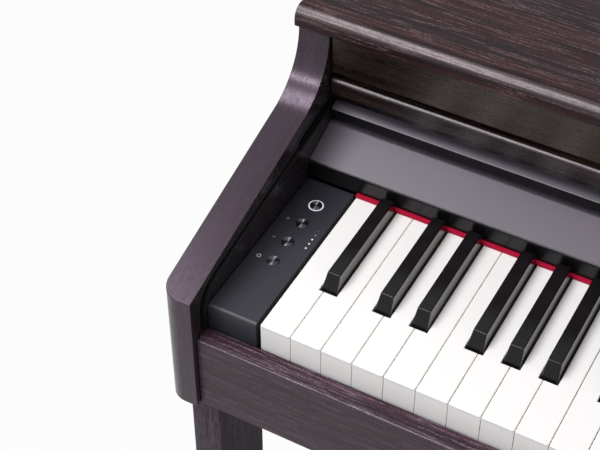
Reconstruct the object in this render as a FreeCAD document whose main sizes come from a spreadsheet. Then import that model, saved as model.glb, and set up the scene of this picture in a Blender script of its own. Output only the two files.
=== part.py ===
"""Digital piano on a stand: 88 hinged keys in a wooden cabinet with a sliding key lid.

Millimetres. X runs along the keyboard with the bass end at -X, -Y is the player's side and Z is up.
The origin is on the floor, under the middle of the cabinet. The lid is modelled slid open.
"""
import FreeCAD, Part
import Sketcher
import math
import os

from types import SimpleNamespace
from FreeCAD import Placement, Rotation, Vector

doc = FreeCAD.newDocument("DigitalPiano")

# Driving dimensions: name, value, what it is.
SIZES = [
    ("underside_height", 638.5, "floor to the underside of the key bed"),
    ("key_rise", 90, "white key tops above the key bed's underside"),
    ("side_thickness", 25, "side panels, legs and stand sides"),
    ("top_thickness", 15.5, "top board"),
    ("top_overhang", 2.5, "top board beyond the side panels"),
    ("nose_radius", 9.5, "rounded front edge of the top board"),
    ("edge_radius", 1.5, "eased edges of boards"),
    ("arm_rise", 18.6, "front of an arm above the white keys"),
    ("arm_slope", 15.4, "fall of an arm's top edge, degrees"),
    ("arm_corner_radius", 14, "outer front corner of the arms"),
    ("upper_setback", 198.5, "arm fronts to the upper case's front"),
    ("sweep_land", 1.6, "upright edge between an arm's hollow sweep and the top board"),
    ("bed_thickness", 15, "key bed board"),
    ("slip_thickness", 15, "key slip board"),
    ("slip_drop", 21.7, "top of the key slip below the white keys"),
    ("slip_setback", 5, "key slip behind the arm fronts"),
    ("slip_radius", 1.3, "key slip's front top edge"),
    ("rear_thickness", 8, "rear panel"),
    ("screw_radius", 1.8, "rear panel's screws"),
    ("screw_head_radius", 3.6, "heads of those screws"),
    ("screw_head", 2, "heads of those screws"),
    ("screw_inset", 12, "screws from the rear panel's edges"),
    ("fascia_thickness", 12, "upper front panel"),
    ("fascia_setback", 2, "upper front panel behind the case's front"),
    ("fascia_gap", 6.1, "upper front panel above the lid"),
    ("fascia_end_gap", 1, "upper front panel to each side panel"),
    ("white_pitch", 23.5, "white key spacing"),
    ("key_gap", 0.5, "gap between white keys"),
    ("key_setback", 22, "white key fronts behind the arm fronts"),
    ("key_length", 236, "whole key, most of it under the name board"),
    ("key_depth", 16, "key stick, top to bottom"),
    ("key_lip", 0.6, "overhang of a white key's front edge"),
    ("key_lip_thickness", 1.3, "white key's top plate at its front"),
    ("key_skirt_depth", 26, "white key's front face"),
    ("key_skirt_thickness", 4.2, "white key's front face, front to back"),
    ("key_edge_radius", 0.6, "white key's top edges"),
    ("key_corner_radius", 1.4, "white key's front corners in plan"),
    ("black_setback", 49, "black key fronts behind white key fronts"),
    ("black_slot", 13.9, "gap that white keys leave for a black key"),
    ("black_front_gap", 0.5, "white keys' cut before a black key's front"),
    ("black_base_width", 12.6, "black key at white key level"),
    ("black_top_width", 9.8, "black key at its top"),
    ("black_rise", 11.7, "black key above white keys"),
    ("black_rake", 8, "slope of a black key's front, front to back"),
    ("black_edge_radius", 1.1, "black key's top edges"),
    ("black_length", 93.1, "black key's raised part, front to back"),
    ("black_sink", 3, "start of a black key's raised part, below white key tops"),
    ("key_tail", 6, "keys behind their pivots"),
    ("pivot_ridge_width", 6, "ridge that the keys pivot on"),
    ("running_gap", 0.3, "clearance of parts that move past each other"),
    ("key_dip", 9.5, "drop of the key frame's front rail below the key sticks"),
    ("key_rail_width", 10, "key frame's front rail"),
    ("key_rail_distance", 20, "white key fronts to the key frame's front rail"),
    ("frame_plate", 2, "key frame's base plate"),
    ("felt_gap", 0.7, "felt strip behind the black keys"),
    ("felt_show", 2.9, "felt strip in front of the name board"),
    ("felt_width", 10, "felt strip, front to back"),
    ("felt_thickness", 2, "felt strip"),
    ("felt_lift", 0.6, "felt strip above the white keys"),
    ("panel_lip", 15, "name board's upright face"),
    ("panel_run", 33.4, "name board's slope, front to back"),
    ("panel_rise", 12.7, "name board's slope, bottom to top"),
    ("panel_wall", 4, "name board moulding"),
    ("panel_shelf", 9, "name board's level top"),
    ("panel_radius", 2.5, "name board's front edge"),
    ("block_gap", 2.7, "control block to the end key"),
    ("block_width", 38.3, "control block"),
    ("block_end_gap", 0.5, "control block to the arm"),
    ("block_overhang", 1, "control block in front of the white keys"),
    ("block_wall", 2.5, "control block moulding"),
    ("block_radius", 2.5, "control block's front top edge"),
    ("button_radius", 4.7, "button cap"),
    ("button_pitch", 21.5, "button spacing"),
    ("button_distance", 57.2, "white key fronts to the first button"),
    ("button_proud", 0.7, "button cap above the block"),
    ("button_flange", 6.2, "radius of the flange that keeps a button in"),
    ("button_flange_thickness", 1.5, "that flange"),
    ("button_length", 9.7, "button, top to bottom"),
    ("button_clearance", 0.1, "button cap in its hole"),
    ("ring_width", 1, "lit ring round the power button"),
    ("lamp_proud", 0.1, "lamps and lit ring above the block"),
    ("lamp_radius", 0.8, "volume lamp"),
    ("lamp_pitch", 4.9, "volume lamp spacing"),
    ("lamp_inset", 4.9, "lamps to the block's inner edge"),
    ("board_drop", 10.6, "switch board below the block's top"),
    ("board_thickness", 1.6, "circuit boards"),
    ("board_gap", 0.5, "switch board to the block's walls"),
    ("boss_radius", 3, "bosses and posts that hold the circuit boards"),
    ("boss_inset", 6.5, "bosses from the switch board's ends"),
    ("main_board_width", 220, "sound board"),
    ("main_board_depth", 90, "sound board"),
    ("main_board_post", 8, "sound board above the key bed"),
    ("lid_slope", 10, "slope of the lid and its tracks, degrees"),
    ("lid_closed_setback", 12.4, "closed lid's front behind the arm fronts"),
    ("lid_back_gap", 8, "open lid to the rear panel"),
    ("lid_roof_gap", 6.1, "open lid's back edge to the top board"),
    ("lid_length", 195, "lid board, front to back"),
    ("lid_thickness", 13, "lid board"),
    ("lid_front_height", 59.5, "lid board's underside above the keys, at its front"),
    ("lid_setback", 1, "lid board's front behind the case's front"),
    ("lid_end_gap", 1.5, "lid to each side panel"),
    ("lid_radius", 3.2, "lid board's front top edge"),
    ("grip_depth", 28, "grip moulding, front to back"),
    ("grip_height", 24.5, "grip moulding below the lid board"),
    ("grip_strip", 5.4, "flat strip above the finger recess"),
    ("grip_opening", 10.2, "finger recess, top to bottom"),
    ("grip_recess", 10, "finger recess, front to back"),
    ("grip_step", 1, "grip moulding's face behind the lid board's"),
    ("grip_recess_radius", 2.4, "back of the finger recess"),
    ("grip_lip_rise", 4.4, "rise of the lip's top towards the back of the recess"),
    ("grip_seam", 1.5, "strip's and lip's seam, before the back of the recess"),
    ("grip_edge_radius", 0.8, "grip moulding's front edges"),
    ("track_height", 15, "lid track under the lid's roof"),
    ("track_front_height", 8.4, "lid track in the arm"),
    ("track_widening", 66, "front rollers of the open lid behind the place where the track grows"),
    ("drop_lead", 21.4, "track's drop before the closed lid's front rollers"),
    ("drop_width", 7.5, "track's drop, front to back"),
    ("drop_radius", 28, "bend of the track's lower edge into the drop"),
    ("drop_front_radius", 22, "bend of the track's upper edge into the drop"),
    ("track_depth", 8, "lid track in the side panel"),
    ("track_proud", 0.5, "lid track's lip on the side panel's face"),
    ("track_wall", 1.5, "lid track moulding"),
    ("track_run_out", 4, "lid track beyond the rollers"),
    ("roller_drop", 6.1, "front rollers below the lid board's front edge"),
    ("roller_inset", 18.5, "front rollers behind the lid's front"),
    ("shaft_inset", 7.1, "lid shaft from the lid's back edge"),
    ("shaft_radius", 4, "lid shaft"),
    ("shaft_clearance", 0.08, "lid shaft in its bearings"),
    ("bearing_width", 24, "lid shaft's bearing blocks"),
    ("bearing_wall", 3.5, "bearing blocks round the shaft"),
    ("bearing_inset", 30, "end bearing blocks from the lid's ends"),
    ("leg_depth", 63, "front leg, front to back"),
    ("leg_setback", 28, "front leg behind the arm fronts"),
    ("leg_corner_radius", 2.5, "outer front corner of a front leg"),
    ("stand_side_depth", 150, "stand side, front to back"),
    ("foot_width", 40, "foot"),
    ("foot_height", 52, "foot above its glides"),
    ("foot_setback", 8, "foot behind the arm fronts"),
    ("foot_radius", 16, "foot's top corners"),
    ("glide_height", 10, "floor glide"),
    ("glide_radius", 14, "floor glide"),
    ("glide_inset", 40, "floor glide from the foot's end"),
    ("back_board_height", 270, "stand's back board"),
    ("back_board_thickness", 15, "stand's back board"),
    ("back_board_drop", 48.5, "stand's back board below the key bed"),
    ("pedal_box_height", 80, "pedal box"),
    ("pedal_box_depth", 88, "pedal box"),
    ("pedal_box_level", 28, "floor to the pedal box"),
    ("pedal_box_inset", 22.5, "pedal box in front of the case's back"),
    ("pedal_box_wall", 12, "pedal box walls"),
    ("pedal_pitch", 70, "pedal spacing"),
    ("pedal_length", 160, "pedal, pivot to tip"),
    ("pedal_width", 28, "pedal at its tip"),
    ("pedal_neck", 16, "pedal at its neck"),
    ("pedal_thickness", 7, "pedal"),
    ("pedal_level", 70, "floor to the pedal pivots"),
    ("pedal_pivot_radius", 3, "rod that the pedals hinge on"),
    ("pedal_hub_radius", 6.5, "pedal round its pivot"),
    ("pedal_pivot_clearance", 0.08, "pedals on their rod"),
    ("pedal_pivot_setback", 62, "pedal pivots behind the box's front"),
    ("pedal_slot_drop", 16, "slots below the pedal pivots"),
    ("pedal_slot_rise", 7, "slots above the pedal pivots"),
    ("pedal_side_gap", 3, "pedals in their slots"),
    ("pedal_rib", 6, "ribs that carry the pedal rod"),
    ("pedal_tail", 9, "pedal behind its pivot"),
    ("pedal_tip_length", 52, "pedal's broad part"),
    ("pedal_tip_radius", 13.5, "pedal's tip in plan"),
    ("pedal_shoulder_radius", 10, "pedal between tip and neck"),
    ("adjuster_radius", 17, "adjuster foot"),
    ("adjuster_foot", 10, "adjuster foot's thickness"),
    ("adjuster_stem", 4.9, "adjuster's threaded stem"),
    ("adjuster_stem_length", 32, "adjuster's threaded stem"),
    ("adjuster_clearance", 0.1, "adjuster's stem in its block"),
    ("adjuster_boss", 18, "block that holds the adjuster"),
    ("adjuster_boss_width", 20, "that block, across and behind the box's front wall"),
    ("speaker_radius", 64, "speaker's mounting ring"),
    ("speaker_hole", 52, "speaker hole in the key bed"),
    ("speaker_height", 50, "speaker above the key bed"),
    ("speaker_magnet", 34, "speaker's magnet"),
    ("speaker_magnet_height", 20, "speaker's magnet"),
    ("speaker_flange", 3, "speaker's mounting ring"),
    ("cone_lip", 2, "speaker cone inside the hole"),
    ("cone_depth", 18, "speaker cone"),
    ("cone_cap", 12, "dust cap in the middle of the cone"),
    ("speaker_inset", 222.5, "speakers from the side panels"),
    ("speaker_back_gap", 6.5, "speakers to the rear panel"),
    ("grille_radius", 58, "speaker grille"),
    ("grille_hole", 3.5, "holes in the speaker grilles"),
    ("grille_pitch", 12, "spacing of those holes"),
    ("grille_thickness", 2, "speaker grille"),
    ("jack_radius", 3.2, "headphone sockets"),
    ("jack_depth", 30, "headphone sockets"),
    ("jack_pitch", 36, "headphone sockets' spacing"),
    ("jack_box_width", 80, "headphone socket box"),
    ("jack_box_height", 26, "headphone socket box"),
    ("jack_box_depth", 50, "headphone socket box"),
    ("jack_box_inset", 56.5, "headphone socket box from the side panel"),
    ("jack_box_setback", 2, "headphone socket box behind the white key fronts"),
    ("hook_width", 14, "headphone hook"),
    ("hook_inset", 132.5, "headphone hook from the side panel"),
    ("hook_setback", 16, "headphone hook behind the white key fronts"),
    ("hook_drop", 44, "headphone hook, top to bottom"),
    ("hook_reach", 34, "headphone hook, front to back"),
    ("hook_wall", 4, "headphone hook"),
    ("hook_lip", 14, "headphone hook's upturned end"),
    ("connector_width", 150, "connector panel"),
    ("connector_height", 44, "connector panel"),
    ("connector_depth", 20, "connector panel"),
    ("connector_lift", 4, "connector panel above the key bed"),
    ("connector_inset", 272.5, "connector panel's middle from the side panel"),
    ("connector_proud", 1, "connector panel behind the rear panel"),
    ("socket_depth", 12, "sockets in the connector panel"),
    ("socket_pitch", 32, "sockets in the connector panel"),
    ("inlet_radius", 5, "power inlet"),
    ("square_socket_width", 9, "computer socket"),
    ("square_socket_height", 8.4, "computer socket"),
    ("flat_socket_width", 13.5, "storage socket"),
    ("flat_socket_height", 6, "storage socket"),
    ("pedal_socket_radius", 6.6, "pedal socket"),
    ("rest_width", 620, "music rest"),
    ("rest_height", 165, "music rest"),
    ("rest_thickness", 9, "music rest"),
    ("rest_lean", 70, "music rest's angle above the top board, degrees"),
    ("rest_setback", 35.5, "music rest's hinge behind the case's front"),
    ("rest_corner_radius", 18, "music rest's top corners"),
    ("rest_ledge", 24, "ledge that carries the music"),
    ("rest_ledge_thickness", 4, "that ledge"),
    ("hinge_inset", 90, "music rest's hinges from its ends"),
    ("hinge_radius", 3.2, "hinge knuckles"),
    ("hinge_pin_radius", 1.5, "hinge pins"),
    ("hinge_height", 5.5, "hinge pins above the top board"),
    ("hinge_width", 30, "hinge, end to end"),
    ("hinge_knuckle", 10, "music rest's own knuckle"),
    ("hinge_leaf", 22, "hinge leaf, front to back"),
    ("hinge_leaf_thickness", 1.5, "hinge leaf"),
    ("pin_clearance", 0.1, "hinge pins in their knuckles"),
    ("stay_reach", 60, "stay's pivot above the music rest's hinge"),
    ("stay_stand_off", 7.5, "stay's pivot behind the middle of the music rest"),
    ("stay_width", 80, "stay"),
    ("stay_thickness", 3.6, "stay"),
    ("stay_eye_radius", 2.7, "stay's upper end"),
    ("stay_foot_radius", 5.2, "stay's rounded foot"),
    ("stay_lug", 6, "lugs that hold the stay"),
    ("stay_lug_reach", 4, "lugs round the stay's pivot"),
    ("stay_pin_radius", 1.25, "pins that the stay turns on"),
    ("stay_pin_length", 8, "those pins"),
]


class Size:
    """A dimension, kept both as a number and as a formula over the sheet's cells."""

    def __init__(self, value, formula):
        self.value = float(value)
        self.formula = formula

    def __float__(self):
        return self.value

    def __add__(self, other):
        return combine(self, "+", other)

    def __radd__(self, other):
        return combine(other, "+", self)

    def __sub__(self, other):
        return combine(self, "-", other)

    def __rsub__(self, other):
        return combine(other, "-", self)

    def __mul__(self, other):
        return combine(self, "*", other)

    def __rmul__(self, other):
        return combine(other, "*", self)

    def __truediv__(self, other):
        return combine(self, "/", other)

    def __neg__(self):
        return combine(0, "-", self)


def as_size(number):
    """A plain number as a Size."""
    if isinstance(number, Size):
        return number
    return Size(number, repr(float(number)))


def combine(first, sign, second):
    """Two sizes added, subtracted, multiplied or divided."""
    a, b = as_size(first), as_size(second)
    results = {"+": a.value + b.value, "-": a.value - b.value, "*": a.value * b.value}
    value = a.value / b.value if sign == "/" else results[sign]
    return Size(value, f"({a.formula} {sign} {b.formula})")


def sine(angle):
    return Size(math.sin(math.radians(angle.value)), f"sin({angle.formula})")


def cosine(angle):
    return Size(math.cos(math.radians(angle.value)), f"cos({angle.formula})")


def tangent(angle):
    return Size(math.tan(math.radians(angle.value)), f"tan({angle.formula})")


def arctangent(ratio):
    return Size(math.degrees(math.atan(ratio.value)), f"(atan({ratio.formula}) / 1 deg)")


def root(square):
    return Size(math.sqrt(square.value), f"sqrt({square.formula})")


def fill_sheet():
    """Writes the driving dimensions into the spreadsheet and returns them by name."""
    sheet = doc.addObject("Spreadsheet::Sheet", "Sizes")
    for row, (alias, value, meaning) in enumerate(SIZES, start=1):
        sheet.set(f"A{row}", alias)
        sheet.set(f"B{row}", str(value))
        sheet.set(f"C{row}", meaning)
        sheet.setAlias(f"B{row}", alias)
    doc.recompute()
    return SimpleNamespace(**{alias: Size(sheet.get(alias), f"Sizes.{alias}") for alias, _, _ in SIZES})


# Helpers: each makes one object of the document, with its sizes bound to the sheet.

def bind(piece, path, size):
    """Ties one property to the sheet."""
    piece.setExpression(path, as_size(size).formula)


def place(piece, x, y, z):
    """Ties a piece's position to the sheet."""
    bind(piece, "Placement.Base.x", x)
    bind(piece, "Placement.Base.y", y)
    bind(piece, "Placement.Base.z", z)


def tilt(piece, angle):
    """Turns a piece about the X axis by an angle from the sheet."""
    piece.Placement = Placement(Vector(), Rotation(Vector(1, 0, 0), angle.value))
    bind(piece, "Placement.Rotation.Angle", angle)


def box(name, x, y, z):
    """A box between two limits along each axis."""
    piece = doc.addObject("Part::Box", name)
    piece.Label = name
    bind(piece, "Length", x[1] - x[0])
    bind(piece, "Width", y[1] - y[0])
    bind(piece, "Height", z[1] - z[0])
    place(piece, x[0], y[0], z[0])
    return piece


TURNS = {
    "x": Rotation(Vector(0, 1, 0), 90),
    "y": Rotation(Vector(1, 0, 0), -90),
    "z": Rotation(),
}


def rod(name, along, start, radius, length):
    """A cylinder from a point, along one axis."""
    piece = doc.addObject("Part::Cylinder", name)
    piece.Label = name
    piece.Placement = Placement(Vector(), TURNS[along])
    bind(piece, "Radius", radius)
    bind(piece, "Height", length)
    place(piece, *start)
    return piece


def fuse(name, pieces):
    """Pieces joined into one solid."""
    piece = doc.addObject("Part::MultiFuse", name)
    piece.Label = name
    piece.Shapes = pieces
    return piece


def cut(name, base, tools):
    """A piece with others cut out of it."""
    piece = doc.addObject("Part::Cut", name)
    piece.Label = name
    piece.Base = base
    piece.Tool = tools[0] if len(tools) == 1 else fuse(name + "_cutters", tools)
    return piece


def collect(name, pieces):
    """Separate solids kept as one sub-part."""
    piece = doc.addObject("Part::Compound", name)
    piece.Label = name
    piece.Links = pieces
    return piece


def mirror(name, source):
    """The same piece on the treble side."""
    piece = doc.addObject("Part::Mirroring", name)
    piece.Label = name
    piece.Source = source
    piece.Base = Vector(0, 0, 0)
    piece.Normal = Vector(1, 0, 0)
    return piece


def origin_plane(body, role):
    """One of a body's own origin planes."""
    return next(feature for feature in body.Origin.OriginFeatures if feature.Role == role)


def outline_sketch(body, role, points, offset):
    """A closed outline whose every corner is held by two dimensions from the sheet."""
    sketch = body.newObject("Sketcher::SketchObject", body.Label + "_outline")
    sketch.AttachmentSupport = [(origin_plane(body, role), "")]
    sketch.MapMode = "FlatFace"
    bind(sketch, "AttachmentOffset.Base.z", offset)
    corners = [Vector(float(as_size(u)), float(as_size(v)), 0) for u, v in points]
    for index, corner in enumerate(corners):
        sketch.addGeometry(Part.LineSegment(corner, corners[(index + 1) % len(corners)]))
    for index in range(len(corners)):
        sketch.addConstraint(Sketcher.Constraint("Coincident", index, 2, (index + 1) % len(corners), 1))
    for index, (u, v) in enumerate(points):
        for kind, size in (("DistanceX", u), ("DistanceY", v)):
            number = sketch.addConstraint(Sketcher.Constraint(kind, -1, 1, index, 1, float(as_size(size))))
            bind(sketch, f"Constraints[{number}]", size)
    return sketch


def profile(name, points, limits, role="YZ_Plane"):
    """An outline drawn on a plane and padded between two limits across it."""
    body = doc.addObject("PartDesign::Body", name)
    body.Label = name
    sketch = outline_sketch(body, role, points, limits[0])
    pad = body.newObject("PartDesign::Pad", name + "_pad")
    pad.Profile = sketch
    bind(pad, "Length", limits[1] - limits[0])
    doc.recompute()
    return body


def edges_at(shape, **place_of):
    """The names of the straight edges whose ends both lie at the given coordinates."""
    names = []
    for number, edge in enumerate(shape.Edges, start=1):
        ends = [vertex.Point for vertex in edge.Vertexes]
        if len(ends) == 2 and all(
            abs(getattr(end, axis) - float(as_size(size))) < 1e-3
            for end in ends
            for axis, size in place_of.items()
        ):
            names.append(f"Edge{number}")
    return names


def ease(body, radius, *places):
    """Rounds the edges at the given places of a body."""
    names = [name for place_of in places for name in edges_at(body.Shape, **place_of)]
    if not names:
        raise ValueError(f"{body.Label}: no edge to round at {places}")
    tip = body.Tip
    fillet = body.newObject("PartDesign::Fillet", body.Label + "_rounding")
    fillet.Base = (tip, names)
    bind(fillet, "Radius", radius)
    doc.recompute()


def spin(name, points):
    """A half outline in the XZ plane turned about the Z axis."""
    body = doc.addObject("PartDesign::Body", name)
    body.Label = name
    sketch = outline_sketch(body, "XZ_Plane", points, 0)
    turned = body.newObject("PartDesign::Revolution", name + "_turned")
    turned.Profile = sketch
    turned.ReferenceAxis = (sketch, ["V_Axis"])
    turned.Angle = 360
    return body


# Places that several pieces share.

s = fill_sheet()

# Across: the cabinet is as wide as the keys, the control blocks and the side panels.
white_count = 52
keyboard_half = s.white_pitch * (white_count / 2)
inner = keyboard_half + s.block_gap + s.block_width + s.block_end_gap
side_outer = inner + s.side_thickness
half_width = side_outer + s.top_overhang

# Front to back: the upper case is as deep as the lid that slides into it.
cabinet_depth = (
    s.upper_setback + s.lid_setback + s.lid_length + s.lid_back_gap + s.rear_thickness + s.top_overhang
)
front = -cabinet_depth / 2
back = cabinet_depth / 2
rear_face = back - s.top_overhang
rear_inside = rear_face - s.rear_thickness
upper_front = front + s.upper_setback
slip_front = front + s.slip_setback
slip_back = slip_front + s.slip_thickness
key_front = front + s.key_setback
black_end = s.black_setback + s.black_length
felt_front = key_front + black_end + s.felt_gap
panel_face = felt_front + s.felt_show
pivot_y = key_front + s.key_length - s.key_tail
lid_front = upper_front + s.lid_setback
lid_back = lid_front + s.lid_length
lid_end = inner - s.lid_end_gap

# Up: the top board lies over the back edge of the sloping lid.
rise = tangent(s.lid_slope)
bed_top = s.underside_height + s.bed_thickness
key_level = s.underside_height + s.key_rise
arm_top = key_level + s.arm_rise
lid_low = key_level + s.lid_front_height
lid_top = lid_low + s.lid_thickness
board_bottom = lid_top + s.lid_length * rise + s.lid_roof_gap
cabinet_top = board_bottom + s.top_thickness

# The lid's rollers and how far they run.
roller_radius = s.track_height / 2 - s.track_wall - s.running_gap
front_roller_radius = s.track_front_height / 2 - s.track_wall - s.running_gap
roller_y = lid_front + s.roller_inset
roller_z = lid_low - s.roller_drop
shaft_spacing = (s.lid_length - s.roller_inset - s.shaft_inset) / cosine(s.lid_slope)
lid_travel = (s.upper_setback + s.lid_setback - s.lid_closed_setback) / cosine(s.lid_slope)


def on_slope(along, across):
    """A point measured from the front rollers: up the lid's slope, then square to it."""
    y = roller_y + along * cosine(s.lid_slope) - across * sine(s.lid_slope)
    z = roller_z + along * sine(s.lid_slope) + across * cosine(s.lid_slope)
    return y, z


# Cabinet.

def on_track(y, across):
    """The height at a place along the track's slope, above or below its middle."""
    return roller_z + (y - roller_y) * rise + across / cosine(s.lid_slope)


def track_space(name, shrink=0):
    """The space that a lid track fills, or its channel when shrunk by the wall: tall under the lid's roof,
    low in the arm, and bent down behind the arm's front."""
    tall = s.track_height / 2 - shrink
    low = s.track_front_height / 2 - shrink
    end = shaft_spacing + roller_radius + s.track_run_out + s.track_wall - shrink
    step = shrink - s.track_widening
    taper = step - (tall - low)
    lead = roller_y - lid_travel * cosine(s.lid_slope) - s.drop_lead
    drop = (lead + shrink, lead + s.drop_width - shrink)
    foot = key_level - s.slip_drop + s.running_gap + shrink
    bends = [(drop[1], on_track(drop[1], -low)), (drop[0], on_track(drop[0], low))]
    outline = [
        on_slope(end, -tall),
        on_slope(step, -tall),
        on_slope(taper, -low),
        bends[0],
        (drop[1], foot),
        (drop[0], foot),
        bends[1],
        on_slope(taper, low),
        on_slope(step, tall),
        on_slope(end, tall),
    ]
    space = profile(name, outline, (-(inner + s.track_depth - shrink), -(inner - s.track_proud)))
    radii = (s.drop_radius + shrink, s.drop_front_radius - shrink)
    for (y, z), radius in zip(bends, radii):
        ease(space, radius, {"y": y, "z": z})
    return space


def side_panel():
    """One board: the arm in front, swept up into the side of the upper case."""
    crease = arm_top + s.upper_setback * tangent(s.arm_slope)
    bend = (as_size(90) - s.arm_slope) / 2
    sweep_radius = (board_bottom - crease - s.sweep_land) / tangent(bend)
    outline = [
        (front, s.underside_height),
        (front, arm_top),
        (upper_front, crease),
        (upper_front, board_bottom),
        (rear_face, board_bottom),
        (rear_face, s.underside_height),
    ]
    board = profile("left_side_board", outline, (-side_outer, -inner))
    ease(board, sweep_radius, {"y": upper_front, "z": crease})
    ease(board, s.arm_corner_radius, {"x": -side_outer, "y": front})
    return cut("left_side_panel", board, [track_space("left_track_slot")])


def lid_track():
    """A channel moulding let into the side panel, for the lid's rollers."""
    outer = track_space("left_track_outer")
    channel = track_space("left_track_channel", s.track_wall)
    return cut("left_lid_track", outer, [channel])


def top_board():
    outline = [
        (upper_front - s.top_overhang, board_bottom),
        (upper_front - s.top_overhang, cabinet_top),
        (back, cabinet_top),
        (back, board_bottom),
    ]
    board = profile("top_board", outline, (-half_width, half_width))
    ease(board, s.nose_radius, {"y": upper_front - s.top_overhang, "z": cabinet_top})
    ease(
        board,
        s.edge_radius,
        {"y": back, "z": cabinet_top},
        {"y": upper_front - s.top_overhang, "z": board_bottom},
    )
    return board


def upper_front_panel():
    y = upper_front + s.fascia_setback
    end = inner - s.fascia_end_gap
    return box(
        "upper_front_panel",
        (-end, end),
        (y, y + s.fascia_thickness),
        (lid_top + s.fascia_gap, board_bottom),
    )


def connector_limits():
    """The space that the connector panel takes."""
    low = bed_top + s.connector_lift
    middle = s.connector_inset - inner
    x = (middle - s.connector_width / 2, middle + s.connector_width / 2)
    y = (rear_face + s.connector_proud - s.connector_depth, rear_face + s.connector_proud)
    z = (low, low + s.connector_height)
    return x, y, z


speaker_y = rear_inside - s.speaker_radius - s.speaker_back_gap


def screw_places():
    """Screws along the rear panel's lower edge, into the key bed, and along its upper edge."""
    low = s.underside_height + s.bed_thickness / 2
    high = board_bottom - s.screw_inset
    reach = inner - s.screw_inset
    return [(reach * step, z) for z in (low, high) for step in (-1, -0.5, 0, 0.5, 1)]


def screw_shank(name, x, z):
    return rod(name, "y", (x, rear_inside, z), s.screw_radius, s.rear_thickness)


def rear_panel():
    board = box(
        "rear_board", (-inner, inner), (rear_inside, rear_face), (s.underside_height, board_bottom)
    )
    holes = [screw_shank(f"screw_hole_{number}", x, z) for number, (x, z) in enumerate(screw_places())]
    return cut("rear_panel", board, [box("connector_cutout", *connector_limits()), *holes])


def rear_screws():
    screws = []
    for number, (x, z) in enumerate(screw_places()):
        head = rod(f"screw_head_{number}", "y", (x, rear_face, z), s.screw_head_radius, s.screw_head)
        screws.append(fuse(f"rear_screw_{number}", [screw_shank(f"screw_shank_{number}", x, z), head]))
    return collect("rear_screws", screws)


def main_circuit_board():
    """The sound board, on four posts in the middle of the key bed's back."""
    y = speaker_y
    half_x, half_y = s.main_board_width / 2, s.main_board_depth / 2
    top = bed_top + s.main_board_post
    board = box("sound_board", (-half_x, half_x), (y - half_y, y + half_y), (top, top + s.board_thickness))
    posts = [
        rod(f"board_post_{number}", "z", (x, post_y, bed_top), s.boss_radius, s.main_board_post)
        for number, (x, post_y) in enumerate(
            ((half_x - s.boss_radius * 2) * across, y + (half_y - s.boss_radius * 2) * along)
            for across in (-1, 1)
            for along in (-1, 1)
        )
    ]
    return fuse("main_circuit_board", [board, *posts])


def connector_panel():
    """Power inlet, computer, storage and pedal sockets in one moulding."""
    x, y, z = connector_limits()
    depth = s.socket_depth
    mouth = y[1] - depth
    middle_x = (x[0] + x[1]) / 2
    middle_z = (z[0] + z[1]) / 2

    def square_socket(name, step, width, height):
        centre = middle_x + s.socket_pitch * step
        return box(
            name,
            (centre - width / 2, centre + width / 2),
            (mouth, y[1]),
            (middle_z - height / 2, middle_z + height / 2),
        )

    def round_socket(name, step, radius):
        return rod(name, "y", (middle_x + s.socket_pitch * step, mouth, middle_z), radius, depth)

    sockets = [
        round_socket("power_inlet", 1.5, s.inlet_radius),
        square_socket("computer_socket", 0.5, s.square_socket_width, s.square_socket_height),
        square_socket("storage_socket", -0.5, s.flat_socket_width, s.flat_socket_height),
        round_socket("pedal_socket", -1.5, s.pedal_socket_radius),
    ]
    return cut("connector_panel", box("connector_block", x, y, z), sockets)


def speaker_places():
    reach = inner - s.speaker_inset
    return [(-reach, speaker_y), (reach, speaker_y)]


def key_bed():
    board = box(
        "key_bed_board", (-inner, inner), (slip_back, rear_inside), (s.underside_height, bed_top)
    )
    holes = [
        rod(f"speaker_hole_{number}", "z", (x, y, s.underside_height), s.speaker_hole, s.bed_thickness)
        for number, (x, y) in enumerate(speaker_places())
    ]
    return cut("key_bed", board, holes)


def key_slip():
    top = key_level - s.slip_drop
    outline = [
        (slip_front, s.underside_height),
        (slip_front, top),
        (slip_back, top),
        (slip_back, s.underside_height),
    ]
    board = profile("key_slip", outline, (-inner, inner))
    ease(board, s.slip_radius, {"y": slip_front, "z": top})
    return board


def name_board():
    """The moulding behind the keys: an upright lip, a slope and a level shelf under the lid."""
    low = key_level + s.felt_lift + s.felt_thickness
    lip = low + s.panel_lip
    high = lip + s.panel_rise
    crest = panel_face + s.panel_run
    wall = s.panel_wall
    steep = s.panel_rise / s.panel_run
    slant = root(steep * steep + 1)
    outline = [
        (panel_face, low),
        (panel_face, lip),
        (crest, high),
        (crest + s.panel_shelf, high),
        (crest + s.panel_shelf, high - wall),
        (crest + wall * (slant - 1) / steep, high - wall),
        (panel_face + wall, lip + wall * (steep - slant)),
        (panel_face + wall, low),
    ]
    board = profile("name_board", outline, (-inner, inner))
    ease(board, s.panel_radius, {"y": panel_face, "z": lip})
    ease(board, s.edge_radius, {"y": crest, "z": high})
    return board


def key_felt():
    z = key_level + s.felt_lift
    return box(
        "key_felt",
        (-keyboard_half, keyboard_half),
        (felt_front, felt_front + s.felt_width),
        (z, z + s.felt_thickness),
    )


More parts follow.
